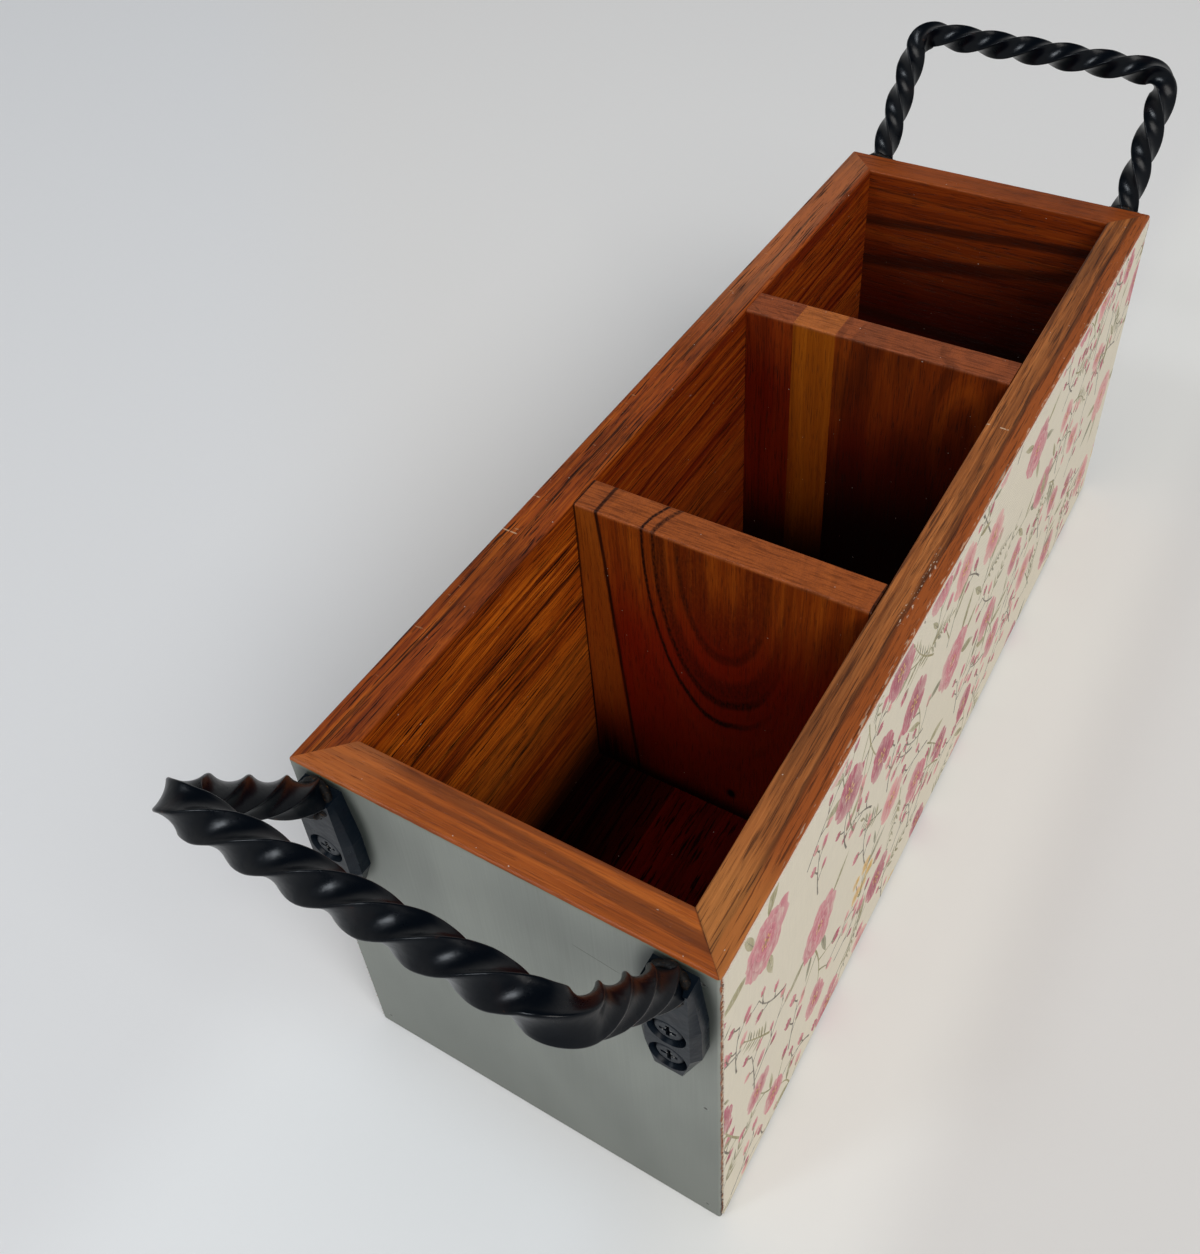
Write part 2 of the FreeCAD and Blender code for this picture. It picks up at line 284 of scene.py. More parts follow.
def woodLook(tree, wood):
    seed = wood["seed"]
    across, deep, high = axesOf(tree)
    along, wide, thick = axesOf(tree, wood["axes"])
    drift = cloud(tree, (along, wide, thick), woodFigure["driftCell"], seed)
    sway = scaled(tree, drift, wood["sway"], -0.5 * wood["sway"])
    wide = calc(tree, "ADD", wide, sway)
    thick = scaled(tree, sway, woodFigure["thickSway"], thick)
    grain = (along, wide, thick)

    offWide = less(tree, scaled(tree, along, -wood["lean"][0], wide), wood["pith"][0])
    offThick = less(tree, scaled(tree, along, -wood["lean"][1], thick), wood["pith"][1])
    radius = farFrom(tree, offWide, offThick)
    rings = cloudLine(tree, scaled(tree, radius, 1 / wood["ringGap"], seed), detail=3)
    lineRate = woodFigure["lineRate"] / wood["ringGap"]
    lines = cloudLine(tree, scaled(tree, radius, lineRate, seed + woodFigure["lineShift"]), detail=1)
    lines = fade(tree, lines, *woodFigure["lineMask"])
    dashLong, dashWide = wood["dashCell"]
    kinds = {**woodLayers, "dashes": {**woodLayers["dashes"], "cell": (dashLong, dashWide, dashWide)}}
    layers = {name: woodLayer(tree, grain, seed, layer) for name, layer in kinds.items()}
    fibres, pores, dashes = (layers[name] for name in ("fibres", "pores", "dashes"))

    # the three shares swing about the middle tone
    tone = 0.5 - 0.5 * (wood["ringShare"] + wood["streakShare"] + wood["fibreShare"])
    for layer, share in ((rings, "ringShare"), (layers["streaks"], "streakShare"), (fibres, "fibreShare")):
        tone = scaled(tree, layer, wood[share], tone)
    dark, middle, light = (tint(*colour) for colour in wood["tones"])
    colour = ramp(tree, tone, [(0.5 - wood["spread"], dark), (0.5, middle), (0.5 + wood["spread"], light)])

    onTop = fade(tree, high, *woodFigure["topEdge"])
    below = less(tree, 1.0, onTop)
    railCell, railSeed = (*wood["railCell"], 4.0), seed + woodFigure["railShift"]
    railGrain = cloud(tree, (across, deep, high), railCell, railSeed, detail=4, rough=0.6)
    railTints = tint(*(value * woodFigure["railDark"] for value in wood["rail"])), tint(*wood["rail"])
    railTint = ramp(tree, railGrain, list(zip(woodFigure["railStops"], railTints)))
    colour = mixed(tree, times(tree, onTop, wood["railShare"]), colour, railTint)
    # painted shade: deeper red and darker lower down in the box
    lowShade = times(tree, fade(tree, high, *wood["lowShadeHeights"]), wood["lowShadeShare"])
    colour = mixed(tree, lowShade, colour, tint(*wood["lowShadeRed"]))
    ink, darkKnotAndShade = tint(*wood["ink"]), tint(*wood["darkKnotAndShade"])
    colour = mixed(tree, times(tree, lines, layers["gaps"], wood["lineShare"]), colour, ink)
    ways = {"along": along, "wide": wide, "thick": thick, "radius": radius, "high": high, "below": below}
    for band in wood["stripes"]:
        inside = stripeMask(tree, band, ways, layers)
        colour = mixed(tree, inside, colour, tint(*band.get("colour", wood["ink"])))
    calm = scaled(tree, onTop, -wood["calm"], 1.0)
    for layer, share in ((dashes, "dashShare"), (pores, "poreShare")):
        colour = mixed(tree, times(tree, layer, calm, wood[share]), colour, ink)
    for knot in wood["knots"]:
        ahead = times(tree, less(tree, along, knot["along"]), woodFigure["knotLong"])
        apart = farFrom(tree, less(tree, wide, knot["wide"]), ahead)
        spot = fade(tree, apart, knot["reach"], knot["reach"] * woodFigure["knotHeart"])
        colour = mixed(tree, spot, colour, darkKnotAndShade)
    colour = mixed(tree, times(tree, layers["mottle"], below, wood["mottleShare"]), colour, ink)
    if wood["seamShare"]:
        mitre = calc(tree, "ADD", across, deep)
        offset = offsetFrom(tree, mitre, caddyBox["sideFace"] - caddyBox["endFace"])
        offset = scaled(tree, layers["wander"], woodFigure["seamWander"], offset)
        seam = times(tree, fade(tree, offset, *woodFigure["seamMask"]), wood["seamShare"])
        colour = mixed(tree, seam, colour, darkKnotAndShade)
    # painted shade: near black where the walls meet the floor
    floorShade = times(tree, fade(tree, high, *wood["floorShadeHeights"]), wood["floorShadeShare"])
    colour = mixed(tree, floorShade, colour, darkKnotAndShade)
    for mark in wood["scuffs"]:
        marked = scuffMask(tree, mark, grain, seed, below if mark["faceOnly"] else onTop, dashes)
        colour = mixed(tree, marked, colour, tint(*mark["colour"]))
    colour = mixed(tree, times(tree, layers["dust"], woodFigure["dustShare"]), colour, tint(*wood["dust"]))
    rough = scaled(tree, pores, woodFigure["poreRough"], wood["rough"])
    rough = scaled(tree, fibres, woodFigure["fibreRough"], rough)
    height = scaled(tree, pores, woodFigure["poreDepth"], fibres)
    return {"colour": colour, "rough": rough, "height": height}


# brushed grey-green paint on the ends

endPaint = {
    "colour": (141, 145, 138),
    "dark": (121, 125, 119),
    "foot": (98, 102, 96),      # darker towards the bottom
    "footHeights": (100.0, 0.0),
    "footShare": 0.5,
    "edge": (124, 132, 112),
    "edgeDrops": (1.3, 0.3),    # where that tint starts and is full, below the rim
    "edgeShare": 0.55,
    "chip": (64, 62, 54),
    "chipMask": (0.79, 0.82),
    "chipShare": 0.6,
    "face": 187.4,              # how far out the paint starts, from the middle of the box
    "rim": 146.35,              # height at which it stops below the bare rim
    "side": 64.93,              # and how far out it reaches on the corners
    "soft": (0.15, 0.12),       # half the width of the paint's edge, on the face and at the rim
    "ragged": 0.7,              # how far that edge wanders
    "rimRagged": 0.4,           # share of it at the rim
    "brushCell": (0.7, 0.7, 46),
    "broadCell": (26, 26, 60),
    "brushShare": 0.34,
    "broadShare": 0.66,
    "toneStops": (0.3, 0.62),
    # painted shadow around each handle foot, strongest above it up to the rim
    "footShadow": {"at": (53.5, 127.0), "half": (9.3, 20.5), "reach": (1.6, 1.1), "share": 0.86,
              "ragged": 0.3, "colour": (34, 41, 38)},
    "hairline": {"at": (30.2, 125.5), "slope": -0.16, "half": 7.6, "tail": 2, "wide": 0.16,
                 "core": 0.02, "share": 0.75, "colour": (52, 52, 46)},
    "rough": 0.38,
    "brushRough": 0.16,
    "brushDepth": 0.4,
}


def paintLook(tree):
    axes = axesOf(tree)
    across, deep, high = axes
    brush = cloud(tree, axes, endPaint["brushCell"], 5.0, detail=3, rough=0.6)
    broad = cloud(tree, axes, endPaint["broadCell"], 9.0)
    specks = cloud(tree, axes, (1.5, 1.5, 1.5), 2.0, detail=1)
    tone = scaled(tree, brush, endPaint["brushShare"], times(tree, broad, endPaint["broadShare"]))
    tones = tint(*endPaint["dark"]), tint(*endPaint["colour"])
    colour = ramp(tree, tone, list(zip(endPaint["toneStops"], tones)))
    lowerDarker = times(tree, fade(tree, high, *endPaint["footHeights"]), endPaint["footShare"])
    colour = mixed(tree, lowerDarker, colour, tint(*endPaint["foot"]))

    crack = endPaint["hairline"]
    fromMiddle = less(tree, across, crack["at"][0])
    offset = offsetFrom(tree, scaled(tree, fromMiddle, -crack["slope"], high), crack["at"][1])
    ends = fade(tree, calc(tree, "ABSOLUTE", fromMiddle), crack["half"], crack["half"] - crack["tail"])
    onFront = calc(tree, "LESS_THAN", deep, 0.0)
    line = times(tree, fade(tree, offset, crack["wide"], crack["core"]), ends, onFront)
    colour = mixed(tree, times(tree, line, crack["share"]), colour, tint(*crack["colour"]))
    chips = times(tree, fade(tree, specks, *endPaint["chipMask"]), endPaint["chipShare"])
    colour = mixed(tree, chips, colour, tint(*endPaint["chip"]))

    # painted shadow around the handle feet
    footShadow = endPaint["footShadow"]
    aside = less(tree, calc(tree, "ABSOLUTE", across), footShadow["at"][0])
    aside = calc(tree, "DIVIDE", aside, footShadow["half"][0])
    above = calc(tree, "DIVIDE", less(tree, high, footShadow["at"][1]), footShadow["half"][1])
    around = scaled(tree, broad, footShadow["ragged"], farFrom(tree, aside, above))
    footShade = times(tree, fade(tree, around, *footShadow["reach"]), footShadow["share"])
    colour = mixed(tree, footShade, colour, tint(*footShadow["colour"]))
    nearRim = fade(tree, high, *(endPaint["rim"] - drop for drop in endPaint["edgeDrops"]))
    colour = mixed(tree, times(tree, nearRim, endPaint["edgeShare"]), colour, tint(*endPaint["edge"]))
    rough = scaled(tree, brush, endPaint["brushRough"], endPaint["rough"])
    height = scaled(tree, brush, endPaint["brushDepth"], times(tree, line, -1.0))
    return {"colour": colour, "rough": rough, "height": height}


def paintMask(tree):
    axes = axesOf(tree)
    across, deep, high = axes
    ragged = cloud(tree, axes, (2.2, 2.2, 2.2), 1.0, detail=3)
    ragged = scaled(tree, ragged, endPaint["ragged"], -endPaint["ragged"] / 2)
    soft, rimSoft = endPaint["soft"]
    outward = calc(tree, "ADD", calc(tree, "ABSOLUTE", deep), ragged)
    upward = scaled(tree, ragged, endPaint["rimRagged"], high)
    sideways = calc(tree, "ADD", calc(tree, "ABSOLUTE", across), ragged)
    onFace = fade(tree, outward, endPaint["face"] - soft, endPaint["face"] + soft)
    underRim = fade(tree, upward, endPaint["rim"] + rimSoft, endPaint["rim"] - rimSoft)
    offSide = fade(tree, sideways, endPaint["side"] + soft, endPaint["side"] - soft)
    return times(tree, onFace, underRim, offSide)


def boardMaterial(board, changes, painted):
    # oiled wood, with paint on the outside of the box where asked for
    wood = {**woodDefaults, **changes}
    material, tree, shader = startMaterial(board + " wood", wood["gloss"])
    look = woodLook(tree, wood)
    if painted:
        paint, mask = paintLook(tree), paintMask(tree)
        look["colour"] = mixed(tree, mask, look["colour"], paint["colour"])
        for part in ("rough", "height"):
            look[part] = blended(tree, mask, look[part], paint[part])
    finishSurface(tree, shader, look, woodFigure["bump"])
    return material


outerBoards = {
    "front_end_panel": {
        "axes": "XZY", "seed": 2.0, "pith": (10.0, -420.0), "lean": (0.0, -0.02), "ringGap": 5.0,
        "streakShare": 0.34, "fibreShare": 0.3, "lineShare": 0.15, "poreShare": 0.2, "sway": 2.0,
        "dashShare": 0.36, "dashCell": (9.0, 0.5), "seamShare": 0.65,
        "tones": [(120, 54, 13), (160, 79, 22), (186, 100, 34)], "spread": 0.15,
        "stripes": [
            stripe("thick", -179.4, 0.8, 1.6, 0.7, lean=-0.05, colour=(96, 45, 16), wobble=3.4),
            stripe("thick", -182.6, 0.3, 0.9, 0.6, lean=-0.02, colour=(94, 44, 16), wobble=2.2),
            stripe("thick", -176.4, 0.3, 0.8, 0.6, lean=0.01, colour=(88, 42, 16), wobble=1.6),
        ],
        "scuffs": [scuff((-66.0, -46.0), (-190.0, -174.0), 16.0, 0.35, (192, 114, 60))],
    },
    "rear_end_panel": {
        "axes": "XZY", "seed": 5.0, "pith": (-60.0, 330.0), "lean": (0.0, 0.03), "ringGap": 8.0,
        "gloss": 0.12, "lowShadeShare": 0.9, "lowShadeRed": (50, 2, 1), "lowShadeHeights": (145.0, 76.0),
        "floorShadeHeights": (84.0, 17.0),
        "tones": [(78, 26, 4), (130, 50, 9), (152, 70, 17)], "rail": (150, 78, 30), "railShare": 0.5,
        "stripes": [
            stripe("wide", 127.5, 1.2, 2.0, 0.8, lean=0.07),
            stripe("wide", 111.0, 1.6, 3.0, 0.75, lean=0.15),
            stripe("wide", 73.0, 1.5, 2.5, 0.8, lean=-0.06),
        ],
    },
    "left_side_panel": {
        "seed": 8.0, "pith": (20.0, -260.0), "lean": (0.012, 0.0), "ringGap": 6.0, "gloss": 0.13,
        "streakShare": 0.8, "fibreShare": 0.4, "lineShare": 0.7, "poreShare": 0.6, "lowShadeShare": 0.4,
        "dashShare": 1.0, "dashCell": (32.0, 0.6), "ink": (24, 7, 3),
        "rail": (126, 56, 19), "railShare": 0.55, "calm": 0.1,
        "tones": [(114, 43, 6), (165, 75, 12), (206, 106, 23)], "spread": 0.13,
        "stripes": [
            stripe("wide", 120.5, 0.3, 0.5, 1.0, lean=0.02, wobble=4.0),
            stripe("wide", 103.0, 0.3, 0.7, 0.6, lean=-0.012, wobble=5.0),
            stripe("wide", 84.0, 0.4, 1.2, 0.6, lean=0.012, wobble=5.0),
            stripe("wide", 74.0, 9.0, 9.0, 0.35, lean=0.03, colour=(176, 96, 26), wobble=9.0),
        ],
        "scuffs": [
            # darker red over the whole inner face of the two rear compartments
            scuff((-42.0, 190.0), (-52.0, -50.0), 30.0, 0.56, (98, 16, 2), faceOnly=True),
            scuff((90.0, 190.0), (-65.0, -53.0), 80.0, 0.34, (186, 122, 82)),
            scuff((-150.0, 120.0), (-65.0, -60.5), 8.0, 0.4, (190, 150, 110),
                  cell=(0.7, 4.0, 4.0), start=0.68),
            scuff((-70.8, -70.6), (-65.0, -59.5), 0.25, 0.7, (205, 172, 138),
                  cell=(3.0, 2.0, 2.0), start=0.44),
            scuff((-88.4, -88.2), (-65.0, -60.0), 0.25, 0.7, (205, 172, 138),
                  cell=(3.0, 2.0, 2.0), start=0.44),
        ],
    },
    "right_side_panel": {
        "seed": 12.0, "pith": (300.0, 40.0), "lean": (0.0, 0.01), "ringGap": 4.5, "sway": 3.0,
        "streakShare": 0.7, "fibreShare": 0.3, "lineShare": 0.5, "poreShare": 0.25,
        "dashShare": 0.62, "dashCell": (20.0, 0.55), "calm": 0.0, "ink": (44, 20, 9), "seamShare": 0.65,
        "tones": [(100, 52, 22), (150, 86, 39), (184, 112, 56)], "spread": 0.14,
        "stripes": [
            stripe("thick", 64.4, 4.0, 1.0, 0.85, colour=(152, 73, 22), wobble=2.4),
            stripe("thick", 59.8, 0.3, 0.9, 0.7, colour=(62, 29, 11), wobble=2.6),
            stripe("thick", 56.0, 0.3, 1.2, 0.3, colour=(76, 38, 16), wobble=2.6),
        ],
        "scuffs": [
            scuff((-190.0, -170.0), (51.0, 66.0), 22.0, 0.4, (198, 130, 66)),
            scuff((-66.0, -40.0), (58.6, 60.6), 8.0, 0.6, (222, 204, 182), cell=(2.2, 0.7, 0.7), start=0.6),
            scuff((-150.0, 150.0), (64.5, 65.0), 8.0, 0.5, (206, 184, 158), cell=(5.0, 0.7, 0.7), start=0.55),
            scuff((29.8, 30.0), (51.0, 59.0), 0.3, 0.8, (214, 186, 156), cell=(3.0, 2.0, 2.0), start=0.42),
        ],
    },
}

plankWood = {
    "axes": "YXZ", "lowShadeShare": 0.3, "gloss": 0.02, "rough": 0.7,
    "dashShare": 0.85, "dashCell": (16.0, 1.3), "ink": (16, 1, 1),
}
dividerWood = {"axes": "ZXY", "gloss": 0.1, "railShare": 0.6, "railCell": (9.0, 0.7)}

innerBoards = {
    "base_left_plank": {
        # painted shade: black band along the left wall, and tones a little darker than the right plank's
        **plankWood, "seed": 15.0, "floorShadeShare": 0.4, "tones": [(52, 5, 3), (104, 12, 6), (130, 22, 9)],
        "stripes": [stripe("wide", -54.0, 18.0, 34.0, 1.0, colour=(5, 1, 1))],
    },
    "base_right_plank": {
        **plankWood, "seed": 18.0, "floorShadeShare": 0.3, "tones": [(62, 4, 3), (124, 12, 6), (152, 24, 9)],
    },
    "front_divider": {
        **dividerWood, "seed": 21.0, "pith": (3.0, -121.2), "lean": (0.0, 0.37), "ringGap": 9.0, "sway": 3.0,
        "ringShare": 0.3, "streakShare": 0.34, "fibreShare": 0.3, "lineShare": 0.12, "poreShare": 0.3,
        "dashShare": 0.3, "dashCell": (7.0, 0.5), "floorShadeHeights": (26.0, 17.0),
        "lowShadeRed": (126, 21, 4), "lowShadeShare": 0.86, "lowShadeHeights": (141.0, 92.0),
        "tones": [(106, 38, 6), (134, 56, 10), (166, 80, 18)], "spread": 0.15, "rail": (166, 92, 46),
        "stripes": [
            # the arch
            stripe("radius", 28.5, 0.2, 0.6, 1.0, until=6.0),
            stripe("radius", 24.6, 0.3, 0.9, 0.8, until=14.0),
            stripe("radius", 22.0, 0.8, 2.0, 0.5, until=16.0, faceOnly=True),
            stripe("radius", 16.0, 0.3, 1.2, 0.55, until=14.0, faceOnly=True),
            stripe("radius", 11.0, 2.0, 4.0, 0.5, colour=(80, 20, 5), faceOnly=True),
            # dark line, pale strip beside it that fades out lower down as painted shade, painted shade in the
            # dark corner at the floor, and the gaps at both walls
            stripe("wide", -31.4, 0.35, 0.7, 0.95, lean=-0.0785),
            stripe("wide", -41.6, 8.8, 1.2, 0.52, lean=-0.0785, colour=(182, 100, 28), faceOnly=True,
                   heights=(17.0, 76.0)),
            stripe("wide", -52.0, 8.0, 34.0, 1.0, colour=(10, 2, 1), wobble=6.0, faceOnly=True,
                   heights=(60.0, 22.0)),
            stripe("wide", 51.2, 0.25, 0.3, 1.0, wobble=0.0),
            stripe("wide", -51.2, 0.25, 0.3, 1.0, wobble=0.0),
        ],
        "knots": [{"along": 28.3, "wide": 6.3, "reach": 2.6}],
    },
    "rear_divider_left_stave": {
        **dividerWood, "seed": 24.0, "rail": (156, 88, 52), "floorShadeHeights": (72.0, 34.0),
        "lowShadeRed": (94, 13, 2), "lowShadeShare": 0.82, "lowShadeHeights": (147.0, 112.0),
        "tones": [(72, 20, 4), (122, 42, 8), (146, 60, 13)],
    },
    "rear_divider_middle_stave": {
        **dividerWood, "seed": 27.0, "rail": (190, 112, 62), "railShare": 0.55, "floorShadeHeights": (72.0, 30.0),
        "lowShadeRed": (100, 24, 2), "lowShadeShare": 0.4, "lowShadeHeights": (144.0, 70.0),
        "streakShare": 0.3, "lineShare": 0.2, "poreShare": 0.3, "dashShare": 0.2,
        "tones": [(126, 58, 9), (153, 78, 12), (180, 99, 20)], "spread": 0.15,
    },
    "rear_divider_right_stave": {
        **dividerWood, "seed": 30.0, "rail": (156, 88, 54), "floorShadeHeights": (112.0, 52.0),
        "lowShadeRed": (76, 5, 2), "lowShadeShare": 0.82, "lowShadeHeights": (144.0, 84.0),
        "pith": (28.0, 20.0), "lean": (0.06, 0.3), "ringGap": 11.0, "mottleShare": 0.32,
        "streakShare": 0.14, "fibreShare": 0.16, "lineShare": 0.3, "dashShare": 0.3,
        "tones": [(86, 31, 6), (118, 46, 8), (150, 68, 14)], "spread": 0.13,
    },
}

for boards, painted in ((outerBoards, True), (innerBoards, False)):
    for board, changes in boards.items():
        dress(board, boardMaterial(board, changes, painted))
print("boards dressed:", len(outerBoards) + len(innerBoards))


def nearestSpot(tree, spots):
    # distance from the closest spot; they repeat on both sides of the middle
    across, high = axesOf(tree, "XZ")
    aside = less(tree, calc(tree, "ABSOLUTE", across), spots["across"])
    nearest = 9.0       # beyond the reach of any mark
    for level in spots["heights"]:
        nearest = calc(tree, "MINIMUM", farFrom(tree, less(tree, high, level), aside), nearest)
    return nearest


# brads: heads painted over with the ends, or hidden under the cloth

bradPits = {"across": 60.6, "heights": (6.0, 73.5, 141.0), "pit": (0.75, 0.3), "depth": -2.0,
            "colour": (46, 46, 42)}


def bradMaterial():
    material, tree, shader = startMaterial("painted brad heads")
    look = paintLook(tree)
    pit = fade(tree, nearestSpot(tree, bradPits), *bradPits["pit"])
    look["colour"] = mixed(tree, pit, look["colour"], tint(*bradPits["colour"]))
    look["height"] = scaled(tree, pit, bradPits["depth"], look["height"])
    finishSurface(tree, shader, look, woodFigure["bump"])
    return material


bradFinish = bradMaterial()
for node in ("front_corner_brads", "rear_corner_brads", "left_divider_brads", "right_divider_brads"):
    dress(node, bradFinish)


# black iron

ironFinish = {
    "bar": {"colour": (1, 5, 12), "gloss": 0.17},
    "foot": {"colour": (10, 19, 28), "gloss": 0.1},
    "worn": (74, 46, 34), "rough": 0.22, "bump": 0.05,
    "patchMask": (0.56, 0.72), "fleckMask": (0.6, 0.66), "patchShare": 0.04, "ridgeShare": 0.8,
    "gritRough": 0.06, "dentRough": 0.08, "gritDepth": 0.22, "dentDepth": 4.0,
}


def ironMaterial(name, finish, ridgeWear):
    material, tree, shader = startMaterial(name, finish["gloss"])
    axes = axesOf(tree)
    grit = cloud(tree, axes, (0.5, 0.5, 0.5), 3.0, detail=3, rough=0.6)
    dents = cloud(tree, axes, (5, 5, 5), 6.0)
    patches = cloud(tree, axes, (9, 9, 9), 13.0, detail=4)
    patches = fade(tree, patches, *ironFinish["patchMask"])
    flecks = cloud(tree, axes, (1.6, 1.6, 1.6), 21.0, detail=3, rough=0.6)
    flecks = fade(tree, flecks, *ironFinish["fleckMask"])
    wear = times(tree, patches, ironFinish["patchShare"])
    if ridgeWear:
        ridge = addNode(tree, "ShaderNodeAttribute", attribute_name="ridge").outputs["Fac"]
        wear = scaled(tree, times(tree, ridge, flecks, patches), ironFinish["ridgeShare"], wear)
    rough = scaled(tree, dents, ironFinish["dentRough"], ironFinish["rough"])
    look = {
        "colour": mixed(tree, wear, tint(*finish["colour"]), tint(*ironFinish["worn"])),
        "rough": scaled(tree, grit, ironFinish["gritRough"], rough),
        "height": scaled(tree, dents, ironFinish["dentDepth"], times(tree, grit, ironFinish["gritDepth"])),
    }
    finishSurface(tree, shader, look, ironFinish["bump"])
    return material


barFinish = ironMaterial("twisted bar black iron", ironFinish["bar"], True)
footFinish = ironMaterial("handle foot black iron", ironFinish["foot"], False)
for end in ("front", "rear"):
    for side in ("left", "right"):
        dress(end + "_handle_" + side + "_foot", footFinish)


# screws: dark heads, bright near the cross where the driver has rubbed, partly a painted glint

screwFinish = {
    "across": 53.5, "heights": (108.0, 120.5), "rubbedAndGlint": (2.0, 1.0), "metallic": 0.4, "gloss": 0.22,
    "dark": (20, 27, 35), "bright": (206, 206, 204), "rough": 0.26, "bump": 0.04,
    "gritMask": (0.54, 0.64), "gritRough": 0.3,
}


def screwMaterial():
    material, tree, shader = startMaterial("dark screw steel", screwFinish["gloss"])
    shader.inputs["Metallic"].default_value = screwFinish["metallic"]
    grit = cloud(tree, axesOf(tree), (0.6, 0.6, 0.6), 4.0, detail=3, rough=0.65)
    # bright steel near the cross: rubbed by the driver, and partly a painted glint
    nearMiddle = fade(tree, nearestSpot(tree, screwFinish), *screwFinish["rubbedAndGlint"])
    rubbedAndGlint = times(tree, nearMiddle, fade(tree, grit, *screwFinish["gritMask"]))
    look = {
        "colour": mixed(tree, rubbedAndGlint, tint(*screwFinish["dark"]), tint(*screwFinish["bright"])),
        "rough": scaled(tree, grit, screwFinish["gritRough"], screwFinish["rough"]),
        "height": grit,
    }
    finishSurface(tree, shader, look, screwFinish["bump"])
    return material


screwSteel = screwMaterial()
for node in ("front_handle_screws", "rear_handle_screws"):
    dress(node, screwSteel)
print("iron and screws dressed")


# twisted handle bars, finer than the frame's own

barShape = {
    "size": 8.4, "rounding": 0.6, "spread": 107.0, "reach": 40.5, "rise": 40.5, "rootDrop": 10.5,
    "insideBend": 2.0, "quarterTurns": 16, "firstTurn": 40.0, "step": 0.6, "flatPoints": 9, "cornerPoints": 5,
    "hollow": 0.4, "dent": 0.12, "dentRate": 0.22, "clear": 0.04,
}


def barOutline():
    # rounded square with slightly hollow flats, as (side, up, ridge)
    half = barShape["size"] / 2
    rounding = barShape["rounding"]
    flat = half - rounding
    points = []
    for quarter in range(4):
        turn = quarter * math.pi / 2
        side = []
        for i in range(barShape["flatPoints"]):
            share = 2 * i / (barShape["flatPoints"] - 1) - 1
            side.append((half - barShape["hollow"] * (1 - share * share), flat * share, abs(share) ** 8))
        for i in range(1, barShape["cornerPoints"]):
            swing = i / barShape["cornerPoints"] * math.pi / 2
            side.append((flat + rounding * math.cos(swing), flat + rounding * math.sin(swing), 1.0))
        for x, y, ridge in side:
            around = x * math.cos(turn) - y * math.sin(turn), x * math.sin(turn) + y * math.cos(turn)
            points.append((*around, ridge))
    return points


def barRoute():
    # place, heading and side of the bar along its slanted plane
    size, half = barShape["size"], barShape["spread"] / 2
    rise = barShape["rise"] + barShape["rootDrop"]
    bend = size * math.sqrt(0.5) + barShape["insideBend"]
    leg = size + math.hypot(barShape["reach"], rise) - bend
    grip = barShape["spread"] - 2 * bend
    arc = bend * math.pi / 2
    slant = math.atan2(rise, barShape["reach"])
    outward = Vector((0, -math.cos(slant), math.sin(slant)))
    across = Vector((1, 0, 0))
    root = Vector((0, -caddyBox["endFace"], caddyBox["high"] - barShape["rootDrop"])) - outward * size
    total = 2 * (leg + arc) + grip
    count = round(total / barShape["step"])
    for i in range(count + 1):
        gone = total * i / count
        nearer = min(gone, total - gone)
        if nearer <= leg:
            flat = (-half, nearer, math.pi / 2)
        elif nearer <= leg + arc:
            turn = (nearer - leg) / bend
            flat = (bend * (1 - math.cos(turn)) - half, leg + bend * math.sin(turn), math.pi / 2 - turn)
        else:
            flat = (bend + nearer - leg - arc - half, leg + bend, 0.0)
        x, out, heading = flat if nearer == gone else (-flat[0], flat[1], -flat[2])
        side = outward * math.cos(heading) - across * math.sin(heading)
        yield root + across * x + outward * out, side, across.cross(outward), gone / total


def cutAtEnd(made):
    # take off what would lie inside the end board, and close the hole
    face = Vector((0, -caddyBox["endFace"] - barShape["clear"], 0))
    everything = made.verts[:] + made.edges[:] + made.faces[:]
    cut = bmesh.ops.bisect_plane(made, geom=everything, plane_co=face, plane_no=(0, 1, 0), clear_outer=True)
    rim = [part for part in cut["geom_cut"] if isinstance(part, bmesh.types.BMEdge)]
    bmesh.ops.holes_fill(made, edges=rim)
    bmesh.ops.recalc_face_normals(made, faces=made.faces[:])


def linked(name, data):
    made = bpy.data.objects.new(name, data)
    bpy.context.scene.collection.objects.link(made)
    return made


def meshObject(name, made):
    mesh = bpy.data.meshes.new(name)
    made.to_mesh(mesh)
    made.free()
    return linked(name, mesh)


def bmeshPiece(name, made, turned):
    # millimetres to metres, and half round for the rear or left copy
    place = Matrix.Scale(mm, 4)
    if turned:
        place = place @ Matrix.Rotation(math.pi, 4, "Z")
    bmesh.ops.transform(made, matrix=place, verts=made.verts[:])
    piece = meshObject(name, made)
    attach(piece, "root")
    return piece


def twistedBar(name, turned):
    outline = barOutline()
    made = bmesh.new()
    ridgeLayer = made.verts.layers.float.new("ridge")
    rows = []
    for centre, side, normal, share in barRoute():
        twist = math.radians(barShape["firstTurn"] + 90 * share * barShape["quarterTurns"])
        first = normal * math.cos(twist) + side * math.sin(twist)
        second = side * math.cos(twist) - normal * math.sin(twist)
        row = []
        for x, y, ridge in outline:
            place = centre + first * x + second * y
            dent = bumpyNoise(place * barShape["dentRate"]) * barShape["dent"]
            vertex = made.verts.new(place + (place - centre).normalized() * dent)
            vertex[ridgeLayer] = ridge
            row.append(vertex)
        rows.append(row)
    for low, high in zip(rows, rows[1:]):
        for i in range(len(outline)):
            j = (i + 1) % len(outline)
            made.faces.new((low[i], low[j], high[j], high[i]))
    made.faces.new(rows[0][::-1])
    made.faces.new(rows[-1])
    cutAtEnd(made)
    for f in made.faces:
        f.smooth = len(f.verts) < 9
    return bmeshPiece(name, made, turned)


for end, turned in (("front", False), ("rear", True)):
    bar = twistedBar(end + "_twisted_bar", turned)
    bar.data.materials.append(barFinish)
    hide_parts(end + "_handle_bar")
print("twisted bars made")


# weld beads where the legs run into the feet

